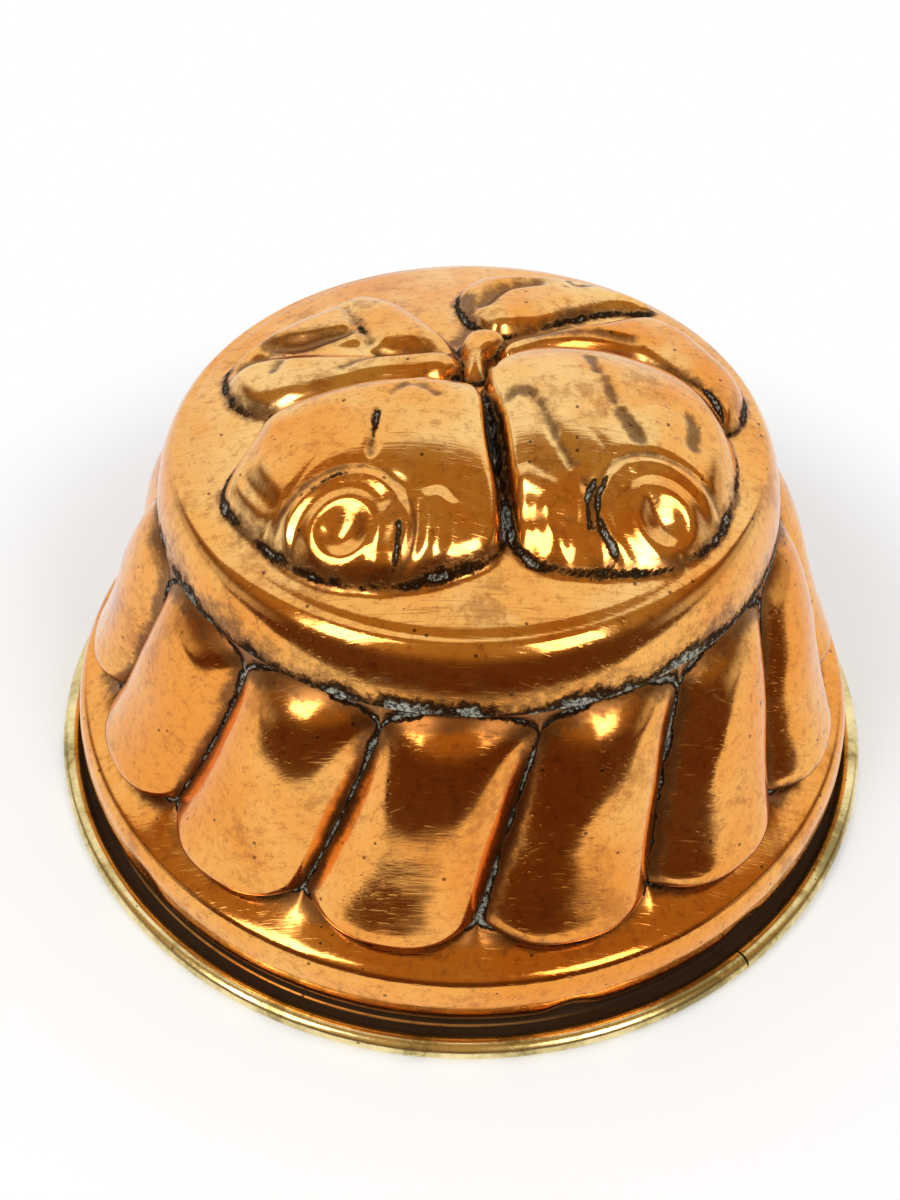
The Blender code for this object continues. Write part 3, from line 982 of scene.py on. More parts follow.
@dataclass
class LobedWall:
    """The wall: slanted lobes between the collar and the ledge, then the rolled skirt.

    Attributes:
        sizes: sizes that the pieces share.
        columns_per_lobe: points across a lobe.
        collar_rows: rows from the crown's foot to the lobes' heads.
        lobe_rows: rows down the lobes.
        ledge_rows: rows from the lobes' feet to the roll.
        roll_rows: rows round the roll.
        flange_rows: rows across the flange.
        passes: how often the rows are smoothed along the profile.
        seed: start of the random draws.
        unevenness: how much the lobes differ in how far they stand out.
        uneven_range: least and greatest draw for a lobe.
        head_share: share of a lobe's length over which its head rounds up.
        head_fullness: 1 rounds the head as a quarter circle, 2 as a parabola.
        foot_share: share of its length over which its foot rounds off.
        squareness: how flat a lobe's face is across; 2 is a parabola.
        head_easing: how much less square the face is at the head.
        ledge_bend: how far along and up the point lies that it is drawn towards, as shares.
        ledge_turns: how often the ledge's last row is evened out round the mould.
        roll_growth: how much taller the roll is above its middle than below.
        roll_squareness: 1 keeps its section an ellipse, less squares it.
        roll_top: angle above level at which the roll starts.
        roll_foot: angle at which it turns in to the flange.
        neck_share: how far out on the roll the flange starts, as a share.
        reach: how far dirt may spread from a seam, in millimetres.
        stain_spread: how many times further than dirt the stain spreads.
        stain_strength: how strong the stain is, held to 1.
        head_nearness: what a distance on the collar counts for, from 0 to 1.
        ledge_nearness: what a distance on the ledge counts for.
        foot_nearness: what a distance from a lobe's foot counts for.
        clear: distance in millimetres at which no crevice tells.
        shade_start: height on the roll, as a share, below which painted shade sets in.
        shade_blur: share over which it sets in.
        highlight_row: row of the flange left bare of the painted shade, as a thin painted
            highlight.
        highlight_angle: where it is left bare.
        highlight_half: how far that runs either way.
    """

    sizes: MouldSizes = SIZES
    columns_per_lobe: int = 60
    collar_rows: int = 7
    lobe_rows: int = 41
    ledge_rows: int = 10
    roll_rows: int = 25
    flange_rows: int = 14
    passes: int = 2
    seed: int = 5
    unevenness: float = 0.06
    uneven_range: tuple[float, float] = (-0.5, 1.0)
    head_share: float = 0.46
    head_fullness: float = 1.35
    foot_share: float = 0.08
    squareness: float = 2.8
    head_easing: float = 0.9
    ledge_bend: tuple[float, float] = (0.6, 0.22)
    ledge_turns: int = 40
    roll_growth: float = 1.46
    roll_squareness: float = 0.8
    roll_top: float = math.radians(75.0)
    roll_foot: float = math.radians(-55.0)
    neck_share: float = 0.55
    reach: float = 3.0
    stain_spread: float = 2.2
    stain_strength: float = 1.2
    head_nearness: float = 0.4
    ledge_nearness: float = 0.7
    foot_nearness: float = 1.3
    clear: float = 100.0
    # Painted shade under the roll and over the flange, and a flange row left bare as a thin painted
    # highlight
    shade_start: float = -0.7
    shade_blur: float = 0.1
    highlight_row: int = 2
    highlight_angle: float = math.radians(250.0)
    highlight_half: float = math.radians(42.0)

    @property
    def columns(self) -> int:
        """Number of points round the mould."""
        return self.sizes.lobe_count * self.columns_per_lobe

    def angles(self, turn: float) -> np.ndarray:
        """Angle of every column, turned on by the turn."""
        return np.arange(self.columns) * TURN / self.columns + turn

    def row(
        self,
        radius: float | np.ndarray,
        height: float | np.ndarray,
        turn: float,
        away: np.ndarray | None = None,
        grime_and_shade: float | np.ndarray = 0.0,
    ) -> Row:
        """One row of points round the axis, with its wear and its painted shade.

        Args:
            radius: distance from the axis, the same or one for each column.
            height: height above the table, the same or one for each column.
            turn: angle that the row is turned by.
            away: distance in millimetres from the nearest crevice, if one is near.
            grime_and_shade: how much painted shade darkens the row, from 0 to 1.

        Returns:
            The row's points, their distance from a crevice and their painted shade.
        """
        angle = self.angles(turn)
        radius = np.broadcast_to(radius, self.columns)
        height = np.broadcast_to(height, self.columns)
        points = np.stack([radius * np.cos(angle), radius * np.sin(angle), height], axis=-1)
        away = np.broadcast_to(self.clear if away is None else away, self.columns)
        return points, away, np.broadcast_to(grime_and_shade, self.columns)

    def lobe_line(self, share: float) -> tuple[np.ndarray, np.ndarray, np.ndarray]:
        """Radius, height and crevice across the lobes at a share of their length.

        A lobe stands proud of the seams' cone by a quarter round at its head and at its
        foot, times one less the distance across it to the power of its squareness. The
        cone itself is hollowed by a parabola. The crevice is the nearer of the seam or
        head, and the foot.

        Args:
            share: 0 at the lobes' heads, 1 at their feet.

        Returns:
            Radius and height of every column, and how far off its crevice is in millimetres.
        """
        size = self.sizes
        per = self.columns_per_lobe
        across = (np.arange(self.columns) % per) / per * 2 - 1
        arch = np.sqrt(1.0 - across**2)
        head_radius, head_z = size.seam_head
        head = head_z + size.arch_rise * arch
        foot = size.seam_foot[1] - size.arch_sag * arch
        height = head + (foot - head) * share
        fall = (head_z - height) / size.lobe_height
        hollow = size.seam_hollow * 4 * np.clip(fall * (1 - fall), 0.0, 1.0)
        seam = head_radius + size.wall_flare * fall - hollow
        head_end = quarter_round(np.array(share / self.head_share)) ** self.head_fullness
        foot_end = quarter_round(np.array((1.0 - share) / self.foot_share))
        draws = np.random.default_rng(self.seed).uniform(*self.uneven_range, size.lobe_count)
        swell = np.repeat(1.0 + self.unevenness * draws, per)
        power = self.squareness - self.head_easing * max(0.0, 1.0 - share / self.head_share)
        proud = size.lobe_proud * swell * (1.0 - np.abs(across) ** power)
        proud = proud * head_end * foot_end
        from_seam = (1.0 - np.abs(across)) * math.pi * seam / size.lobe_count
        from_head = np.hypot(np.minimum(from_seam, share * size.lobe_height), proud)
        from_foot = self.foot_nearness * (1.0 - share) * size.lobe_height
        return seam + proud, height, np.minimum(from_head, from_foot) / MM

    def collar(self) -> Iterator[Row]:
        """Rows from the crown's foot to the lobes' heads.

        The way out grows by the square of the share, and past the middle by a quarter
        round; the height falls evenly.

        Yields:
            Each row, but not the lobes' first.
        """
        size = self.sizes
        head_radius, head_z, _ = self.lobe_line(0.0)
        for share in np.linspace(0.0, 1.0, self.collar_rows)[:-1]:
            step = quarter_round(np.array(share)) if share > 0.5 else share**2
            radius = size.crown_radius + (head_radius - size.crown_radius) * step
            height = size.shoulder_foot + (head_z - size.shoulder_foot) * share
            away = self.head_nearness * np.hypot(height - head_z, radius - head_radius) / MM
            yield self.row(radius, height, 0.0, away)

    def lobes(self) -> Iterator[Row]:
        """Rows down the lobes, closest at both ends, each turned on by the slant.

        Yields:
            Each row from the lobes' heads to their feet.
        """
        for share in (1.0 - np.cos(np.linspace(0.0, math.pi, self.lobe_rows))) / 2:
            radius, height, away = self.lobe_line(float(share))
            yield self.row(radius, height, self.sizes.lobe_twist * share, away)

    def ledge(self) -> Iterator[Row]:
        """Rows from the lobes' feet to the roll: a quadratic curve, evened out as it goes.

        Yields:
            Each row between the lobes' last and the roll's first.
        """
        size = self.sizes
        foot_radius, foot_z, _ = self.lobe_line(1.0)
        top_radius, top_z = self.roll_point(self.roll_top)
        bend_radius = size.seam_foot[0] + self.ledge_bend[0] * size.ledge_reach
        bend_z = top_z + self.ledge_bend[1] * size.ledge_rise
        for share in np.linspace(0.0, 1.0, self.ledge_rows)[1:-1]:
            turns = int(self.ledge_turns * share)
            radius = even_out(bent_run(share, foot_radius, bend_radius, top_radius), turns)
            height = even_out(bent_run(share, foot_z, bend_z, top_z), turns)
            away = self.ledge_nearness * np.hypot(radius - foot_radius, height - foot_z) / MM
            yield self.row(radius, height, size.lobe_twist, away)

    def roll(self) -> Iterator[Row]:
        """Rows round the roll of the skirt, dented, with painted shade where it turns in.

        Yields:
            Each row from the top of the roll to its foot.
        """
        turned = self.angles(self.sizes.lobe_twist)
        for angle in np.linspace(self.roll_top, self.roll_foot, self.roll_rows):
            radius, height = self.roll_point(angle)
            for dent in DENTS:
                radius = radius - dent.at(turned, radius, height)
            # Painted shade: darkens the roll where it turns in
            grime_and_shade = np.clip((self.shade_start - math.sin(angle)) / self.shade_blur, 0.0, 1.0)
            yield self.row(radius, height, self.sizes.lobe_twist, grime_and_shade=grime_and_shade)

    def flange(self) -> Iterator[Row]:
        """Rows across the flange, painted dark as shade, one of them left bare along a stretch as a
        thin painted highlight.

        Yields:
            Each row from the foot of the roll to the flange's edge.
        """
        size = self.sizes
        neck = size.roll_centre + self.neck_share * size.roll_reach
        turned = np.mod(self.angles(size.lobe_twist), TURN)
        # Painted highlight: one flange row is spared the painted shade along this stretch
        highlight_strip = bell((turned - self.highlight_angle) / self.highlight_half)
        for step, radius in enumerate(np.linspace(neck, size.flange_edge, self.flange_rows)):
            # Painted shade over the whole flange, except that row
            grime_and_shade = 1.0 - highlight_strip * (step == self.highlight_row)
            yield self.row(radius, size.flange_top, size.lobe_twist, grime_and_shade=grime_and_shade)

    def surface(self) -> tuple[np.ndarray, dict]:
        """The outer surface, row by row from the collar to the flange's edge.

        Residue and stain fade out evenly with the distance from a crevice.

        Returns:
            Rows of points, and the masks of residue, stain and painted shade at each.
        """
        rows = [*self.collar(), *self.lobes(), *self.ledge(), *self.roll(), *self.flange()]
        points, away, grime_and_shade = (np.array(part) for part in zip(*rows))
        stain = self.stain_strength * fade(away, self.stain_spread * self.reach)
        # The grime mask holds the painted shade of the groove
        wear = {"residue": fade(away, self.reach), "stain": np.minimum(stain, 1.0), "grime_and_shade": grime_and_shade}
        return self.soften(points), wear

    def roll_point(self, angle: float) -> tuple[float, float]:
        """Radius and height on the roll: an ellipse, fuller and squarer above its middle.

        Args:
            angle: angle above level, from the roll's centre.

        Returns:
            Radius and height of the point.
        """
        size = self.sizes
        out, up = math.cos(angle), math.sin(angle)
        if angle > 0:
            out, up = out ** self.roll_squareness, up ** self.roll_squareness
            up *= self.roll_growth
        return size.roll_centre + size.roll_reach * out, size.roll_z + size.roll_half_height * up

    def soften(self, rows: np.ndarray) -> np.ndarray:
        """Average each row with its neighbours, weighted 1, 2, 1; the ends stay.

        Args:
            rows: points of the surface, row by row.

        Returns:
            The same points, smoother.
        """
        for _ in range(self.passes):
            rows[1:-1] = (rows[:-2] + 2 * rows[1:-1] + rows[2:]) / 4
        return rows

    def build(self, copper: bpy.types.Material, tin: bpy.types.Material) -> bpy.types.Object:
        """Make the wall: outer rows, inner rows of half as many columns, and both edges.

        Args:
            copper: finish of the outer face and the edges.
            tin: finish of the lining.

        Returns:
            The finished piece.
        """
        outer, masks = self.surface()
        count, half = outer.shape[0], self.columns // 2
        used = np.unique(np.concatenate([np.arange(0, count, 2), [count - 1]]))
        inner = (outer - self.sizes.sheet * grid_normals(outer, wraps=True))[used, ::2]
        outer_loop = np.arange(self.columns)
        inner_loop = np.arange(half) + count * self.columns
        top = stitch(outer_loop, inner_loop)
        last_outer = outer_loop + (count - 1) * self.columns
        last_inner = inner_loop + (len(used) - 1) * half
        edges = np.vstack([top, stitch(last_outer, last_inner)[:, ::-1]])
        return lined_sheet("lobed_wall", outer, inner, masks, edges, [copper, tin], wraps=True)


@dataclass
class BoundRim:
    """Brass band rolled round the flange and its wire, with an open butt joint.

    Attributes:
        sizes: sizes that the pieces share.
        segments: stretches round the rim.
        arc_points: points on the outer and on the inner arc of the section.
        foot_leave: share of the way down to its foot at which the bead leaves its circle.
        sharp: angle in degrees past which an edge stays sharp.
    """

    sizes: MouldSizes = SIZES
    segments: int = 420
    arc_points: int = 18
    foot_leave: float = 0.62
    sharp: float = 50.0

    def outline(self) -> np.ndarray:
        """Section of the band: a bead with a flat foot, open towards the flange.

        Returns:
            Closed outline of radius and height, anticlockwise from the upper lip.
        """
        size = self.sizes
        lip = size.sheet / 2 + size.fit_gap
        inner = size.bead_radius - size.band_wall
        outer_lip = math.pi - math.asin(lip / size.bead_radius)
        inner_lip = math.pi - math.asin(lip / inner)
        foot_angle = -math.acos(size.bead_foot / 2 / size.bead_radius)
        arcs = [
            np.linspace(outer_lip, foot_angle * self.foot_leave, self.arc_points),
            np.linspace(-inner_lip, inner_lip, self.arc_points),
        ]
        sections = []
        for radius, angle in zip((size.bead_radius, inner), arcs):
            across = size.bead_centre + radius * np.cos(angle)
            sections.append(np.stack([across, size.bead_radius + radius * np.sin(angle)], axis=-1))
        flat = np.array([
            (size.bead_centre + size.bead_foot / 2, 0.0),
            (size.bead_centre - size.bead_foot / 2, 0.0),
            (size.bead_centre + size.bead_radius * math.cos(outer_lip), size.bead_radius - lip),
        ])
        return np.vstack([sections[0], flat, sections[1]])

    def build(self, brass: bpy.types.Material) -> bpy.types.Object:
        """Carry the section round the rim and close both ends of the band.

        Args:
            brass: finish of the band.

        Returns:
            The finished piece.
        """
        size = self.sizes
        outline = self.outline()
        gap = size.joint_gap / size.rim_radius
        start = size.joint_angle + gap / 2
        angle = start + np.linspace(0.0, TURN - gap, self.segments + 1)
        radius = outline[None, :, 0]
        points = np.stack(
            [
                radius * np.cos(angle)[:, None],
                radius * np.sin(angle)[:, None],
                np.broadcast_to(outline[None, :, 1], (len(angle), len(outline))),
            ],
            axis=-1,
        )
        per = len(outline)
        faces = grid_faces(len(angle), per, wraps=True)
        last = (len(angle) - 1) * per
        caps = [list(range(per))[::-1], list(range(last, last + per))]
        slots = np.zeros(len(faces) + 2)
        mesh = SurfaceMesh(points.reshape(-1, 3), faces.tolist() + caps, slots)
        piece = mesh.to_object("bound_rim", sharp=self.sharp)
        place_piece(piece, MOULD, Slot.BRASS, [brass], "rim_band")
        return piece


@dataclass
class HangingRing:
    """Loose brass ring, lying back from its eye with its far side on the table.

    Attributes:
        sizes: sizes that the pieces share.
        segments: stretches round the ring.
        sides: sides of the wire's section.
    """

    sizes: MouldSizes = SIZES
    segments: int = 128
    sides: int = 24

    def build(self, brass: bpy.types.Material) -> bpy.types.Object:
        """Make the ring as a circle of wire carried round its centre line.

        Args:
            brass: finish of the ring.

        Returns:
            The finished piece.
        """
        size = self.sizes
        turn = (np.arange(self.segments) * TURN / self.segments)[:, None]
        angle = (np.arange(self.sides) * TURN / self.sides)[None, :]
        reach = size.ring_radius + size.ring_wire_radius * np.cos(angle)
        x = reach * np.sin(turn)
        back = size.ring_radius - reach * np.cos(turn)
        up = np.broadcast_to(size.ring_wire_radius * np.sin(angle), x.shape)
        tilt = -size.ring_tilt
        y = size.eye[0] + back * math.cos(tilt) - up * math.sin(tilt)
        z = size.eye[1] + back * math.sin(tilt) + up * math.cos(tilt)
        index = np.arange(self.segments * self.sides).reshape(self.segments, self.sides)
        index = np.pad(index, ((0, 1), (0, 1)), mode="wrap")
        corners = [index[:-1, :-1], index[:-1, 1:], index[1:, 1:], index[1:, :-1]]
        faces = np.stack(corners, axis=-1).reshape(-1, 4)
        points = np.stack([x, y, z], axis=-1).reshape(-1, 3)
        piece = SurfaceMesh(points, faces.tolist(), np.zeros(len(faces))).to_object("loose_ring")
        place_piece(piece, RING, Slot.BRASS, [brass], "hanging_ring")
        return piece


@dataclass(frozen=True)
class Noise:
    """Settings of a noise texture.

    Attributes:
        scale: its scale, per metre.
        detail: how many finer octaves it has.
        roughness: how strong those are.
    """

    scale: float
    detail: float = 2.0
    roughness: float = 0.5


@dataclass(frozen=True)
class Cloud(Noise):
    """Noise that is read as a mask.

    Attributes:
        low: noise at which the mask is 0.
        high: noise at which it is 1.
    """

    low: float = 0.0
    high: float = 1.0


class NodeGraph:
    """A node tree that is filled step by step, each step fed by earlier ones."""

    def __init__(self, tree: bpy.types.NodeTree) -> None:
        """Start on a tree.

        Args:
            tree: the tree to fill.
        """
        self.tree = tree

    def feed(self, node: bpy.types.Node, inputs: dict) -> None:
        """Link each input of a node to its source socket, or set its value.

        Args:
            node: the node.
            inputs: value or source socket for each input, by its name or number.
        """
        for key, value in inputs.items():
            if isinstance(value, bpy.types.NodeSocket):
                self.tree.links.new(value, node.inputs[key])
            else:
                node.inputs[key].default_value = value

    def add(self, kind: str, inputs: dict | None = None, **settings: object) -> bpy.types.Node:
        """Add a node.

        Args:
            kind: identifier of the node's type.
            inputs: value or source socket for each input, by its name or number.
            settings: the node's own settings.

        Returns:
            The new node.
        """
        node = self.tree.nodes.new(kind)
        for name, value in settings.items():
            setattr(node, name, value)
        self.feed(node, inputs or {})
        return node

    def effect(self, group: bpy.types.NodeTree, **inputs: object) -> bpy.types.Node:
        """Place an effect group, with a value or source socket for each of its inputs."""
        return self.add("ShaderNodeGroup", inputs, node_tree=group)

    def noise(self, vector: bpy.types.NodeSocket, noise: Noise) -> bpy.types.NodeSocket:
        """Add a noise texture.

        Args:
            vector: coordinates that it reads.
            noise: its settings.

        Returns:
            The socket of the noise's value.
        """
        settings = {"Scale": noise.scale, "Detail": noise.detail, "Roughness": noise.roughness}
        return self.add("ShaderNodeTexNoise", {"Vector": vector, **settings}).outputs["Fac"]

    def cloud(self, vector: bpy.types.NodeSocket, cloud: Cloud) -> bpy.types.NodeSocket:
        """Add noise read as a mask, and give the mask's socket."""
        return self.ramp(self.noise(vector, cloud), cloud.low, cloud.high)

    def attribute(self, name: str) -> bpy.types.NodeSocket:
        """Add an attribute of the mesh, and give its socket."""
        return self.add("ShaderNodeAttribute", attribute_name=name).outputs["Fac"]

    def ramp(self, value: bpy.types.NodeSocket, low: float, high: float) -> bpy.types.NodeSocket:
        """Smoothly map a value to 0 at low and 1 at high.

        Args:
            value: the value that is read.
            low: where the result is 0.
            high: where the result is 1.

        Returns:
            The socket of the result.
        """
        inputs = {"Value": value, "From Min": low, "From Max": high}
        node = self.add("ShaderNodeMapRange", inputs, interpolation_type="SMOOTHSTEP")
        return node.outputs["Result"]

    def math(self, operation: str, *values: object) -> bpy.types.NodeSocket:
        """Add a math node.

        Args:
            operation: identifier of the operation.
            values: its one, two or three values or source sockets.

        Returns:
            The socket of the result.
        """
        node = self.add("ShaderNodeMath", dict(enumerate(values)), operation=operation)
        return node.outputs["Value"]

    def total(self, *terms: tuple[object, float]) -> bpy.types.NodeSocket:
        """Add up values, each times its weight.

        Args:
            terms: pairs of a value or source socket and its weight.

        Returns:
            The socket of the sum.
        """
        parts = [self.math("MULTIPLY", value, weight) for value, weight in terms]
        result = parts[0]
        for part in parts[1:]:
            result = self.math("ADD", result, part)
        return result

    def bump(self, height: bpy.types.NodeSocket) -> bpy.types.NodeSocket:
        """Add a bump from a height in metres, and give its normal's socket."""
        inputs = {"Height": height, "Strength": 1.0, "Distance": 1.0}
        return self.add("ShaderNodeBump", inputs).outputs["Normal"]

    def mix(self, share: object, first: object, second: object) -> bpy.types.NodeSocket:
        """Mix two colours.

        Args:
            share: 0 gives the first colour, 1 the second.
            first: a colour or a source socket.
            second: a colour or a source socket.

        Returns:
            The socket of the mixed colour.
        """
        node = self.add("ShaderNodeMix", {0: share, 6: first, 7: second}, data_type="RGBA")
        return node.outputs[2]

    def blend(self, share: object, first: object, second: object) -> bpy.types.NodeSocket:
        """Mix two numbers; share 0 gives the first, 1 the second."""
        node = self.add("ShaderNodeMix", {0: share, 2: first, 3: second}, data_type="FLOAT")
        return node.outputs[0]


class EffectGroups:
    """Shader groups for the wear that the mould's finishes share."""

    # Turn about the axis, and scale along x, y and z, of each set of hairlines
    HAIRLINE_SETS = ((0.3, (60, 1500, 900)), (-0.45, (80, 1500, 900)), (1.2, (90, 1800, 200)))
    # Their tilt about x, as a share of that turn, and about y
    HAIRLINE_TILT = (0.3, 0.2)

    # Levels at which lines and patches start, how far a full input lowers them, and the
    # width of their edges
    LINE_LEVEL = 0.78
    LINE_PULL = 0.2
    LINE_BLUR = 0.08
    PATCH_LEVEL = 0.75
    PATCH_PULL = 0.4
    PATCH_BLUR = 0.09

    # The two noises of the patches, how much finer the small one is, and their shares
    WIDE_NOISE = {"Detail": 6.0, "Roughness": 0.62}
    SMALL_NOISE = {"Detail": 4.0, "Roughness": 0.7}
    SMALL_SCALE = 9.0
    WIDE_SHARE = 0.75
    SMALL_SHARE = 0.25

    def __init__(self) -> None:
        """Build each group once."""
        self.scratches = self.build_scratches()
        self.tarnish = self.build_tarnish()
        self.pits = self.build_pits()

    def start(self, name: str, values: dict, outputs: tuple) -> tuple:
        """Begin a group with its sockets.

        Args:
            name: the group's name.
            values: default of each plain input, by its name, beside the input Vector.
            outputs: names of the outputs, all plain values.

        Returns:
            The group's graph, the outputs of its input node, and its output node.
        """
        tree = bpy.data.node_groups.new(name, "ShaderNodeTree")
        tree.interface.new_socket(name="Vector", in_out="INPUT", socket_type="NodeSocketVector")
        for label, value in values.items():
            socket = tree.interface.new_socket(
                name=label, in_out="INPUT", socket_type="NodeSocketFloat"
            )
            socket.default_value = value
        for label in outputs:
            tree.interface.new_socket(name=label, in_out="OUTPUT", socket_type="NodeSocketFloat")
        graph = NodeGraph(tree)
        return graph, graph.add("NodeGroupInput").outputs, graph.add("NodeGroupOutput")

    def threshold(
        self, graph: NodeGraph, value: bpy.types.NodeSocket, low: object, blur: float, kind: str
    ) -> bpy.types.NodeSocket:
        """Read a value as a mask that is 0 up to a level and 1 a little above it.

        Args:
            graph: the group's graph.
            value: the value.
            low: the level.
            blur: how far above the level the mask is 1.
            kind: LINEAR or SMOOTHSTEP, the form of the rise.

        Returns:
            The mask's socket.
        """
        inputs = {"Value": value, "From Min": low, "From Max": graph.math("ADD", low, blur)}
        return graph.add("ShaderNodeMapRange", inputs, interpolation_type=kind).outputs["Result"]

    def build_scratches(self) -> bpy.types.NodeTree:
        """Hairlines of polishing: noise stretched long and thin in three directions.

        Returns:
            The group.
        """
        values = {"Scale": 1.0, "Density": 0.5}
        graph, source, sink = self.start("polishing_hairlines", values, ("Lines", "Sheen"))
        level = graph.math(
            "SUBTRACT", self.LINE_LEVEL, graph.math("MULTIPLY", source["Density"], self.LINE_PULL)
        )
        sheens = []
        lines = []
        for turn, squeeze in self.HAIRLINE_SETS:
            swing, lean = self.HAIRLINE_TILT
            tilt = {"Rotation": (swing * turn, lean, turn), "Scale": squeeze}
            place = graph.add("ShaderNodeMapping", {"Vector": source["Vector"], **tilt}).outputs[0]
            settings = {"Vector": place, "Scale": source["Scale"], "Detail": 2.0}
            sheens.append(graph.add("ShaderNodeTexNoise", settings).outputs["Fac"])
            lines.append(self.threshold(graph, sheens[-1], level, self.LINE_BLUR, "LINEAR"))
        most = graph.math("MAXIMUM", graph.math("MAXIMUM", lines[0], lines[1]), lines[2])
        mean = graph.total(*((sheen, 1 / len(sheens)) for sheen in sheens))
        graph.feed(sink, {"Lines": most, "Sheen": mean})
        return graph.tree

    def build_tarnish(self) -> bpy.types.NodeTree:
        """Cloudy patches with a ragged edge, from two scales of noise.

        Returns:
            The group.
        """
        values = {"Scale": 30.0, "Amount": 0.5}
        graph, source, sink = self.start("tarnish_clouds", values, ("Patches", "Mottle"))
        place, scale = source["Vector"], source["Scale"]
        wide = {"Vector": place, "Scale": scale, **self.WIDE_NOISE}
        fine_scale = graph.math("MULTIPLY", scale, self.SMALL_SCALE)
        small = {"Vector": place, "Scale": fine_scale, **self.SMALL_NOISE}
        mottle = graph.total(
            (graph.add("ShaderNodeTexNoise", wide).outputs["Fac"], self.WIDE_SHARE),
            (graph.add("ShaderNodeTexNoise", small).outputs["Fac"], self.SMALL_SHARE),
        )
        pull = graph.math("MULTIPLY", source["Amount"], self.PATCH_PULL)
        low = graph.math("SUBTRACT", self.PATCH_LEVEL, pull)
        patches = self.threshold(graph, mottle, low, self.PATCH_BLUR, "SMOOTHSTEP")
        graph.feed(sink, {"Patches": patches, "Mottle": mottle})
        return graph.tree

    def build_pits(self) -> bpy.types.NodeTree:
        """Scattered small round pits: near the centres of some cells of a pattern.

        Returns:
            The group.
        """
        values = {"Scale": 200.0, "Size": 0.14, "Share": 0.3}
        graph, source, sink = self.start("corrosion_pits", values, ("Pits",))
        cells = graph.add(
            "ShaderNodeTexVoronoi", {"Vector": source["Vector"], "Scale": source["Scale"]}
        ).outputs
        dot = graph.math("LESS_THAN", cells["Distance"], source["Size"])
        pick = graph.add("ShaderNodeSeparateColor", {"Color": cells["Color"]}).outputs[0]
        chosen = graph.math("LESS_THAN", pick, source["Share"])
        graph.feed(sink, {"Pits": graph.math("MULTIPLY", dot, chosen)})
        return graph.tree


@dataclass(frozen=True)
class Finish:
    """What the metal finishes have in common.

    Attributes:
        name: name of the material.
        metallic: how metallic the shader is.
    """

    name: str
    metallic: float = 1.0

    def start(self) -> tuple[bpy.types.Material, NodeGraph, bpy.types.Node, bpy.types.NodeSocket]:
        """Begin the material.

        Returns:
            The material, its graph, its shader and its object coordinates.
        """
        material = bpy.data.materials.new(self.name)
        material.use_nodes = True
        graph = NodeGraph(material.node_tree)
        shader = material.node_tree.nodes["Principled BSDF"]
        shader.inputs["Metallic"].default_value = self.metallic
        place = graph.add("ShaderNodeTexCoord").outputs["Object"]
        return material, graph, shader, place


@dataclass(frozen=True)
class RaggedWear:
    """Wear that an attribute of the mesh allows, frayed by fine and by wide noise; the stain
    attribute also holds painted shade.

    Attributes:
        attribute: name of the attribute.
        fine: noise that frays its edge.
        breaks: noise that interrupts it.
        fine_weight: how much the fine noise counts.
        breaks_weight: how much the wide noise counts.
        middle: what is taken off again, about the noises' mean.
    """

    attribute: str
    fine: Noise
    breaks: Noise
    fine_weight: float
    breaks_weight: float
    middle: float

    def level(self, graph: NodeGraph, place: bpy.types.NodeSocket) -> bpy.types.NodeSocket:
        """Sum of the attribute and both noises, less the middle.

        Args:
            graph: the material's graph.
            place: its object coordinates.

        Returns:
            The socket of the sum, from which masks are read.
        """
        fine = graph.noise(place, self.fine)
        breaks = graph.noise(place, self.breaks)
        noises = graph.total((fine, self.fine_weight), (breaks, self.breaks_weight))
        frayed = graph.math("SUBTRACT", noises, self.middle)
        return graph.math("ADD", graph.attribute(self.attribute), frayed)


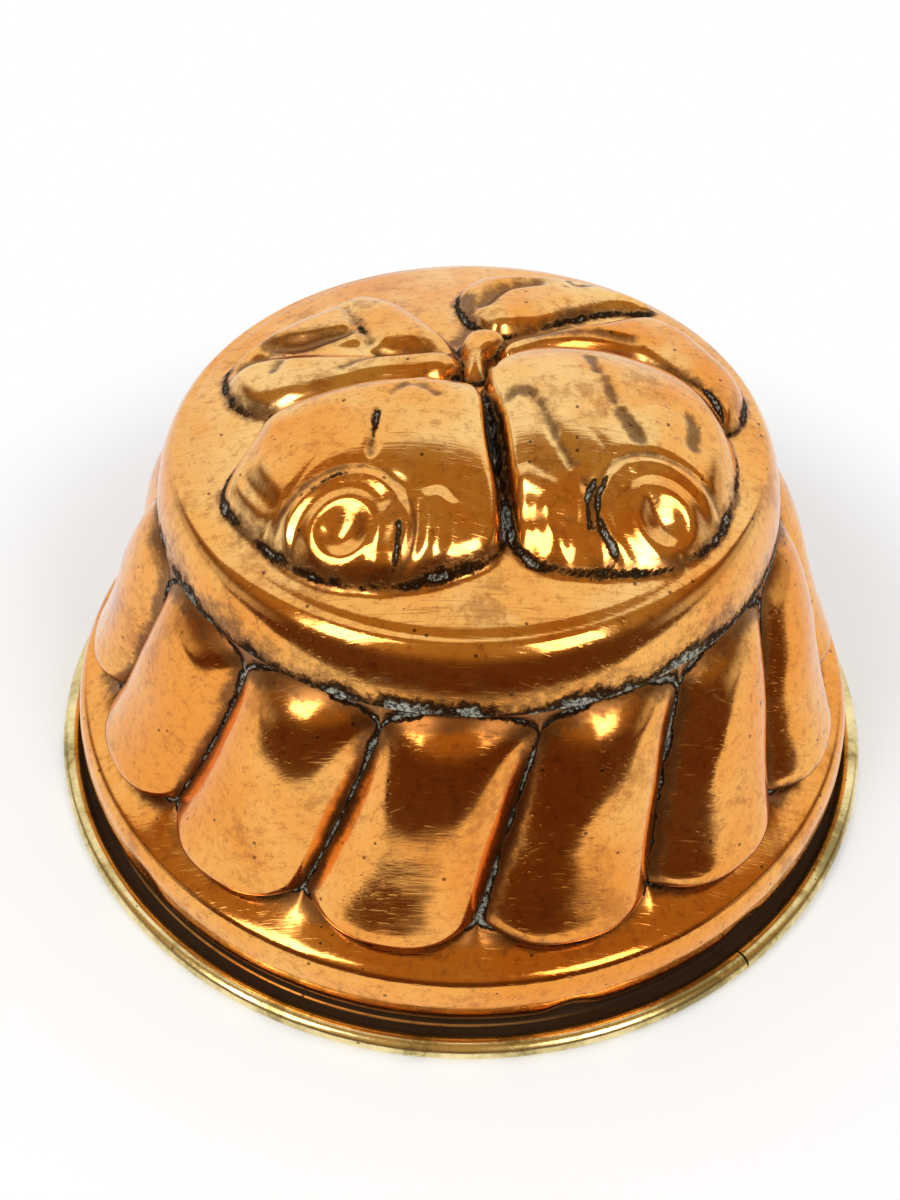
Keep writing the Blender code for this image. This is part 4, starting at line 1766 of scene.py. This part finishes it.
@dataclass(frozen=True)
class PolishedCopper(Finish):
    """Old polished copper: warm and bright, hairline scratches, brown mottling, pits,
    and grey-green polish dried in the crevices; painted shade darkens the groove at the
    flange and the crown's shoulder, and a painted highlight pales the crown's top.

    A field that ends in weight says how strongly a mask counts, from 0 to 1; one that
    ends in levels gives the values at which a mask is 0 and 1; a bump is in metres.
    """

    pale: tuple = (0.96, 0.61, 0.23, 1.0)
    bright: tuple = (0.94, 0.46, 0.115, 1.0)
    warm: tuple = (0.87, 0.33, 0.055, 1.0)
    stain: tuple = (0.40, 0.13, 0.03, 1.0)
    brown: tuple = (0.13, 0.05, 0.018, 1.0)
    silver: tuple = (0.50, 0.49, 0.40, 1.0)
    # Near black: dark dirt in the crevices, and the painted shade of the groove
    grime_and_shade: tuple = (0.012, 0.007, 0.004, 1.0)
    drift: Cloud = Cloud(24.0, 4.0, 0.6, low=0.36, high=0.64)
    # Painted highlight: clouds of paler copper on the crown's top, and the heights over which they
    # set in
    top_highlight: Cloud = Cloud(30.0, 3.0, 0.6, low=0.44, high=0.64)
    top_highlight_levels: tuple = (0.084, 0.1)
    grain: Cloud = Cloud(430.0, 6.0, 0.8, low=0.48, high=0.72)
    grain_weight: float = 0.7
    brushed_levels: tuple = (0.5, 0.62)
    brushed_weight: float = 0.12
    patch_weight: float = 0.5
    # Brown smudges from the stain mask, which also holds the painted shade down the crown's
    # shoulder
    smudges_and_shade: RaggedWear = RaggedWear("stain", Noise(330.0, 5.0, 0.7), Noise(70.0), 1.0, 0.7, 0.85)
    smudge_and_shade_levels: tuple = (0.4, 0.85)
    smudge_and_shade_weight: float = 0.8
    pit_weight: float = 0.8
    crevices: RaggedWear = RaggedWear(
        "residue", Noise(560.0, 5.0, 0.75), Noise(95.0), 0.8, 1.1, 0.95
    )
    dirt_levels: tuple = (0.68, 0.84)
    dirt_weight: float = 0.9
    crust_levels: tuple = (0.9, 1.04)
    lumps: Noise = Noise(1100.0, 4.0, 0.8)
    lump_levels: tuple = (0.4, 0.58)
    # Painted shade of the groove: how dark it is, and how much of the metal it covers
    groove_shade_weight: float = 0.97
    groove_shade_cover: float = 0.9
    cover_weight: float = 0.92
    specular: float = 0.15
    mottle_levels: tuple = (0.3, 0.75)
    roughness: tuple = (0.08, 0.19)
    line_roughness: float = 0.12
    smudge_and_shade_roughness: float = 0.2
    dirt_roughness: float = 0.7
    hand_work: Noise = Noise(110.0, 1.0)
    hand_bump: float = 0.00012
    sheen_bump: float = 0.00003
    line_bump: float = -0.00001
    pit_bump: float = -0.0001
    crust_bump: float = 0.0011

    def build(self, groups: EffectGroups) -> bpy.types.Material:
        """Make the material: bare metal with a painted highlight, then each kind of wear and the
        painted shade laid over it.

        Args:
            groups: the shared effects.

        Returns:
            The finished material.
        """
        material, graph, shader, place = self.start()
        tarnish = graph.effect(groups.tarnish, Vector=place, Scale=56.0, Amount=0.54).outputs
        lines = graph.effect(groups.scratches, Vector=place, Scale=1.0, Density=0.65).outputs
        spots = graph.effect(groups.pits, Vector=place, Scale=420.0, Size=0.18, Share=0.07)
        pits = spots.outputs["Pits"]
        # Brown smudges: real stains, and the painted shade down the crown's shoulder
        smudge_and_shade = graph.ramp(self.smudges_and_shade.level(graph, place), *self.smudge_and_shade_levels)
        crevice = self.crevices.level(graph, place)
        dirt = graph.ramp(crevice, *self.dirt_levels)
        crust = graph.ramp(crevice, *self.crust_levels)
        lumps = graph.noise(place, self.lumps)
        # Painted shade of the groove under the roll and on the flange
        groove = graph.attribute("grime_and_shade")
        colour = self.bare_metal(graph, place)
        for mask, weight, tint in (
            (graph.cloud(place, self.grain), self.grain_weight, self.stain),
            (graph.ramp(lines["Sheen"], *self.brushed_levels), self.brushed_weight, self.stain),
            (tarnish["Patches"], self.patch_weight, self.stain),
            (smudge_and_shade, self.smudge_and_shade_weight, self.brown),
            (pits, self.pit_weight, self.brown),
            (dirt, self.dirt_weight, self.grime_and_shade),
        ):
            colour = graph.mix(graph.math("MULTIPLY", mask, weight), colour, tint)
        dried = graph.mix(graph.ramp(lumps, *self.lump_levels), self.grime_and_shade, self.silver)
        colour = graph.mix(crust, colour, dried)
        # Painted shade: the groove darkened nearly black, and made less metallic below
        groove_shade = graph.math("MULTIPLY", groove, self.groove_shade_weight)
        covered = graph.math("MAXIMUM", crust, graph.math("MULTIPLY", groove, self.groove_shade_cover))
        rough = graph.blend(graph.ramp(tarnish["Mottle"], *self.mottle_levels), *self.roughness)
        rough = graph.total(
            (rough, 1.0), (lines["Lines"], self.line_roughness), (smudge_and_shade, self.smudge_and_shade_roughness)
        )
        height = graph.total(
            (graph.noise(place, self.hand_work), self.hand_bump),
            (lines["Sheen"], self.sheen_bump),
            (lines["Lines"], self.line_bump),
            (pits, self.pit_bump),
            (graph.math("MULTIPLY", dirt, lumps), self.crust_bump),
        )
        graph.feed(shader, {
            "Base Color": graph.mix(groove_shade, colour, self.grime_and_shade),
            "Metallic": graph.total((self.metallic, 1.0), (covered, -self.cover_weight)),
            "Specular IOR Level": self.specular,
            "Roughness": graph.blend(
                graph.math("MAXIMUM", dirt, groove), rough, self.dirt_roughness
            ),
            "Normal": graph.bump(height),
        })
        return material

    def bare_metal(self, graph: NodeGraph, place: bpy.types.NodeSocket) -> bpy.types.NodeSocket:
        """Colour of the clean metal: bright to warm in drifts, and paler in clouds on the crown's
        top, a painted highlight.

        Args:
            graph: the material's graph.
            place: its object coordinates.

        Returns:
            The colour's socket.
        """
        colour = graph.mix(graph.cloud(place, self.drift), self.bright, self.warm)
        height = graph.add("ShaderNodeSeparateXYZ", {"Vector": place}).outputs["Z"]
        # Painted highlight: the crown's top is paled in clouds
        high = graph.ramp(height, *self.top_highlight_levels)
        top_highlight = graph.math("MULTIPLY", graph.cloud(place, self.top_highlight), high)
        return graph.mix(top_highlight, colour, self.pale)


@dataclass(frozen=True)
class AgedBrass(Finish):
    """Brass with an olive tarnish in clouds, dark spots, and a soft hand-worked surface."""

    bright: tuple = (0.94, 0.78, 0.40, 1.0)
    olive: tuple = (0.52, 0.40, 0.14, 1.0)
    dark: tuple = (0.12, 0.09, 0.04, 1.0)
    olive_levels: tuple = (0.38, 0.62)
    patch_weight: float = 0.5
    pit_weight: float = 0.7
    rough_levels: tuple = (0.3, 0.7)
    roughness: tuple = (0.15, 0.32)
    hand_work: Noise = Noise(260.0, 3.0)
    hand_bump: float = 0.00008
    sheen_bump: float = 0.00003
    pit_bump: float = -0.00008

    def build(self, groups: EffectGroups) -> bpy.types.Material:
        """Make the material.

        Args:
            groups: the shared effects.

        Returns:
            The finished material.
        """
        material, graph, shader, place = self.start()
        tarnish = graph.effect(groups.tarnish, Vector=place, Scale=60.0, Amount=0.55).outputs
        lines = graph.effect(groups.scratches, Vector=place, Scale=0.8, Density=0.7).outputs
        spots = graph.effect(groups.pits, Vector=place, Scale=500.0, Size=0.2, Share=0.08)
        pits = spots.outputs["Pits"]
        clouds = graph.ramp(tarnish["Mottle"], *self.olive_levels)
        colour = graph.mix(clouds, self.bright, self.olive)
        for mask, weight in ((tarnish["Patches"], self.patch_weight), (pits, self.pit_weight)):
            colour = graph.mix(graph.math("MULTIPLY", mask, weight), colour, self.dark)
        height = graph.total(
            (graph.noise(place, self.hand_work), self.hand_bump),
            (lines["Sheen"], self.sheen_bump),
            (pits, self.pit_bump),
        )
        rough = graph.blend(graph.ramp(tarnish["Mottle"], *self.rough_levels), *self.roughness)
        graph.feed(
            shader, {"Base Color": colour, "Roughness": rough, "Normal": graph.bump(height)}
        )
        return material


@dataclass(frozen=True)
class TinLining(Finish):
    """Hand-wiped tin: pale grey, cloudy, with soft wipe marks."""

    pale: tuple = (0.66, 0.65, 0.61, 1.0)
    dull: tuple = (0.36, 0.34, 0.31, 1.0)
    dull_levels: tuple = (0.35, 0.65)
    roughness: tuple = (0.28, 0.6)
    wipes: Noise = Noise(70.0, 3.0)
    wipe_bump: float = 0.0002

    def build(self, groups: EffectGroups) -> bpy.types.Material:
        """Make the material.

        Args:
            groups: the shared effects.

        Returns:
            The finished material.
        """
        material, graph, shader, place = self.start()
        tarnish = graph.effect(groups.tarnish, Vector=place, Scale=35.0, Amount=0.6).outputs
        mottle = tarnish["Mottle"]
        graph.feed(shader, {
            "Base Color": graph.mix(graph.ramp(mottle, *self.dull_levels), self.pale, self.dull),
            "Roughness": graph.blend(mottle, *self.roughness),
            "Normal": graph.bump(graph.total((graph.noise(place, self.wipes), self.wipe_bump))),
        })
        return material


@dataclass(frozen=True)
class IronWire(Finish):
    """Plain iron wire, dull and a little rusty."""

    grey: tuple = (0.20, 0.18, 0.17, 1.0)
    rust: tuple = (0.20, 0.09, 0.04, 1.0)
    roughness: tuple = (0.45, 0.8)

    def build(self, groups: EffectGroups) -> bpy.types.Material:
        """Make the material.

        Args:
            groups: the shared effects.

        Returns:
            The finished material.
        """
        material, graph, shader, place = self.start()
        tarnish = graph.effect(groups.tarnish, Vector=place, Scale=90.0, Amount=0.6).outputs
        graph.feed(shader, {
            "Base Color": graph.mix(tarnish["Patches"], self.grey, self.rust),
            "Roughness": graph.blend(tarnish["Mottle"], *self.roughness),
        })
        return material


@dataclass(frozen=True)
class Lamp:
    """A soft rectangular lamp that faces the mould.

    Attributes:
        name: the lamp's name.
        azimuth: degrees round from the camera's side, to the right.
        height: degrees above the table.
        size: its width and height, in metres.
        glow: its brightness, where 1 is white.
        away: its distance, in metres.
        aim_height: height on the mould's axis that it faces, in metres.
    """

    name: str
    azimuth: float
    height: float
    size: tuple[float, float]
    glow: float = 5.4
    away: float = 1.3
    aim_height: float = 0.05

    def hang(self) -> None:
        """Add the lamp to the scene."""
        data = bpy.data.lights.new(self.name, "AREA")
        data.shape = "RECTANGLE"
        data.size, data.size_y = self.size
        data.energy = self.glow * math.pi * self.size[0] * self.size[1]
        lamp = bpy.data.objects.new(self.name, data)
        turn, rise = math.radians(self.azimuth), math.radians(self.height)
        spot = Vector(
            (math.sin(turn) * math.cos(rise), -math.cos(turn) * math.cos(rise), math.sin(rise))
        )
        lamp.location = spot * self.away + Vector((0.0, AXIS_Y, self.aim_height))
        lamp.rotation_euler = spot.to_track_quat("Z", "Y").to_euler()
        bpy.context.scene.collection.objects.link(lamp)


@dataclass
class Studio:
    """White table, soft lights and the camera at the photo's angle.

    Attributes:
        focal: focal length, in millimetres.
        sensor: width of the frame, in millimetres.
        clip_start: nearest distance that the camera shows, in metres.
        elevation: the camera's height angle above the table.
        distance: its distance from the mould's foot, in metres.
        aim: point that it looks at, about the mould's axis, in metres.
        roll: how far the frame is turned, in radians.
        table_reach: half the table's side, in metres.
        table_white: colour of the table.
        table_roughness: roughness of the table.
        table_specular: how much it shines.
        shadow_zone: distances from the axis, in metres, between which the table's shadow
            gives way to plain white for the eye.
        shadow_glow: share of plain white even in the shadow.
        mirrored_glow: share of plain white in the table as the metal mirrors it.
        amber: colour of the room overhead, as the metal mirrors it.
        shade: colour of the room's dark front.
        white_end: depth at which the mirrored table ends before the mould, in metres.
        white_blur: how far it fades either way, in metres.
        least_rise: height, from 0 to 1, that a direction's lean is at least taken over.
        screen_lean: depths over the height between which the white screen sets in.
        screen_side: how far aside it ends, and is full.
        amber_rise: heights, from 0 to 1, between which the shade turns amber.
        skyline_rise: heights between which a pale strip low in the room fades.
        skyline_depth: depths between which that strip fades in towards the back.
        skyline_weight: how strong that strip is.
        fill: colour of the light that the room gives.
        lamps: the two windows.
    """

    focal: float = 42.0
    sensor: float = 36.0
    clip_start: float = 0.01
    elevation: float = 0.8626145
    distance: float = 0.37975143
    aim: tuple = (-0.0037152, 0.0, 0.0371063)
    roll: float = 0.0224019
    table_reach: float = 6.0
    table_white: tuple = (0.96, 0.96, 0.96, 1.0)
    table_roughness: float = 0.9
    table_specular: float = 0.1
    shadow_zone: tuple = (0.125, 0.2)
    shadow_glow: float = 0.1
    mirrored_glow: float = 0.6
    amber: tuple = (0.40, 0.23, 0.07, 1.0)
    shade: tuple = (0.12, 0.05, 0.02, 1.0)
    white_end: float = -0.25
    white_blur: float = 0.015
    least_rise: float = 0.001
    screen_lean: tuple = (0.18, 0.21)
    screen_side: tuple = (0.9, 0.8)
    amber_rise: tuple = (0.12, 0.6)
    skyline_rise: tuple = (0.3, 0.1)
    skyline_depth: tuple = (-0.55, -0.2)
    skyline_weight: float = 0.6
    fill: tuple = (0.7, 0.7, 0.7, 1.0)
    lamps: tuple = (
        Lamp("left_window", -45.0, 40.0, (0.42, 0.74)),
        Lamp("right_window", 36.0, 37.0, (0.4, 0.62)),
    )

    def camera(self) -> None:
        """Set the camera up: right and up vectors turned by the roll."""
        eye = Vector((0.0, -math.cos(self.elevation), math.sin(self.elevation))) * self.distance
        forward = (Vector(self.aim) - eye).normalized()
        right = forward.cross(Vector((0, 0, 1))).normalized()
        up = right.cross(forward)
        across = math.cos(self.roll) * right + math.sin(self.roll) * up
        upward = math.cos(self.roll) * up - math.sin(self.roll) * right
        data = bpy.data.cameras.new("photo_camera")
        data.lens = self.focal
        data.sensor_width = self.sensor
        data.clip_start = self.clip_start
        camera = bpy.data.objects.new("photo_camera", data)
        bpy.context.scene.collection.objects.link(camera)
        turned = Matrix((across, upward, -forward)).transposed().to_4x4()
        camera.matrix_world = Matrix.Translation(eye + Vector((0.0, AXIS_Y, 0.0))) @ turned
        bpy.context.scene.camera = camera

    def seen_directly(self, graph: NodeGraph) -> tuple[bpy.types.NodeSocket, ...]:
        """Say which rays come from the eye or through glass, and which from a mirror.

        Args:
            graph: the graph of the table or of the room.

        Returns:
            The sockets of the two masks.
        """
        path = graph.add("ShaderNodeLightPath").outputs
        clear = graph.math("MAXIMUM", path["Is Camera Ray"], path["Is Transmission Ray"])
        return clear, path["Is Glossy Ray"]

    def table(self) -> None:
        """Lay a white table that stays white to the eye and keeps the mould's shadow."""
        mesh = bpy.data.meshes.new("white_table")
        reach = self.table_reach
        corners = [(-reach, -reach, 0), (reach, -reach, 0), (reach, reach, 0), (-reach, reach, 0)]
        mesh.from_pydata(corners, [], [(0, 1, 2, 3)])
        table = bpy.data.objects.new("white_table", mesh)
        bpy.context.scene.collection.objects.link(table)
        mesh.materials.append(self.table_top())
        table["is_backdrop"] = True

    def table_top(self) -> bpy.types.Material:
        """Make the table's finish: matt white paint mixed with an even white glow.

        Returns:
            The finished material.
        """
        material = bpy.data.materials.new("white_table_top")
        material.use_nodes = True
        graph = NodeGraph(material.node_tree)
        shader = material.node_tree.nodes["Principled BSDF"]
        graph.feed(shader, {
            "Base Color": self.table_white,
            "Roughness": self.table_roughness,
            "Specular IOR Level": self.table_specular,
        })
        clear, glossy = self.seen_directly(graph)
        place = graph.add("ShaderNodeTexCoord").outputs["Object"]
        axes = graph.add("ShaderNodeSeparateXYZ", {"Vector": place}).outputs
        across = graph.math("POWER", axes["X"], 2.0)
        along = graph.math("POWER", graph.math("SUBTRACT", axes["Y"], AXIS_Y), 2.0)
        away = graph.math("SQRT", graph.math("ADD", across, along))
        beyond = graph.ramp(away, *self.shadow_zone)
        far = graph.ramp(
            axes["Y"], self.white_end + self.white_blur, self.white_end - self.white_blur
        )
        hue = graph.mix(graph.math("MULTIPLY", far, glossy), WHITE, self.shade)
        glow = graph.add("ShaderNodeEmission", {"Color": hue, "Strength": 1.0})
        share = graph.math(
            "MAXIMUM",
            graph.math("MULTIPLY", clear, graph.blend(beyond, self.shadow_glow, 1.0)),
            graph.math("MULTIPLY", glossy, graph.blend(far, self.mirrored_glow, 1.0)),
        )
        looks = {0: share, 1: shader.outputs["BSDF"], 2: glow.outputs["Emission"]}
        both = graph.add("ShaderNodeMixShader", looks).outputs["Shader"]
        graph.feed(material.node_tree.nodes["Material Output"], {"Surface": both})
        return material

    def surroundings(self) -> None:
        """White screen behind and over the mould, and a dim amber room before it.

        The screen reaches up from behind to nearly overhead. The room is amber overhead
        and darker towards the front, with a pale strip low at the sides and behind. What
        the camera sees directly stays white.
        """
        world = bpy.data.worlds.new("white_room")
        world.use_nodes = True
        bpy.context.scene.world = world
        graph = NodeGraph(world.node_tree)
        look = graph.add("ShaderNodeTexCoord").outputs["Generated"]
        axes = graph.add("ShaderNodeSeparateXYZ", {"Vector": look}).outputs
        lean = graph.math("DIVIDE", axes["Y"], graph.math("MAXIMUM", axes["Z"], self.least_rise))
        aside = graph.ramp(graph.math("ABSOLUTE", axes["X"]), *self.screen_side)
        screen = graph.math("MULTIPLY", graph.ramp(lean, *self.screen_lean), aside)
        room = graph.mix(graph.ramp(axes["Z"], *self.amber_rise), self.shade, self.amber)
        low = graph.ramp(axes["Z"], *self.skyline_rise)
        strip = graph.math("MULTIPLY", low, graph.ramp(axes["Y"], *self.skyline_depth))
        room = graph.mix(graph.math("MULTIPLY", strip, self.skyline_weight), room, WHITE)
        clear, glossy = self.seen_directly(graph)
        light = graph.mix(glossy, self.fill, graph.mix(screen, room, WHITE))
        background = world.node_tree.nodes["Background"]
        graph.feed(background, {"Color": graph.mix(clear, light, WHITE), "Strength": 1.0})

    def build(self) -> None:
        """Set up the camera, the table, the room and the lamps."""
        self.camera()
        self.table()
        self.surroundings()
        for lamp in self.lamps:
            lamp.hang()
        bpy.context.scene.view_settings.view_transform = "Standard"


def write_sizes() -> None:
    """Read the CAD box and the visual model's box as numbers; neither is kept."""
    for name, box in (("cad", CAD_BOX), ("visual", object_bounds())):
        [[float(value) for value in corner] for corner in box]


def main() -> None:
    """Build the mould's pieces in order, dress the kept solids and set up the studio."""
    logging.basicConfig(level=logging.INFO, format="%(name)s: %(message)s")
    groups = EffectGroups()
    copper = PolishedCopper("polished_copper_finish").build(groups)
    tin = TinLining("tin_lining_finish").build(groups)
    brass = AgedBrass("aged_brass_finish").build(groups)
    iron = IronWire("iron_wire_finish").build(groups)
    CrownSheet().build(copper, tin)
    LobedWall().build(copper, tin)
    BoundRim().build(brass)
    HangingRing().build(brass)
    for name, material in (("rim_wire", iron), ("ring_lug", brass)):
        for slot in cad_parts[name].material_slots:
            slot.material = material
    Studio().build()
    write_sizes()


if __name__ == "__main__":
    main()
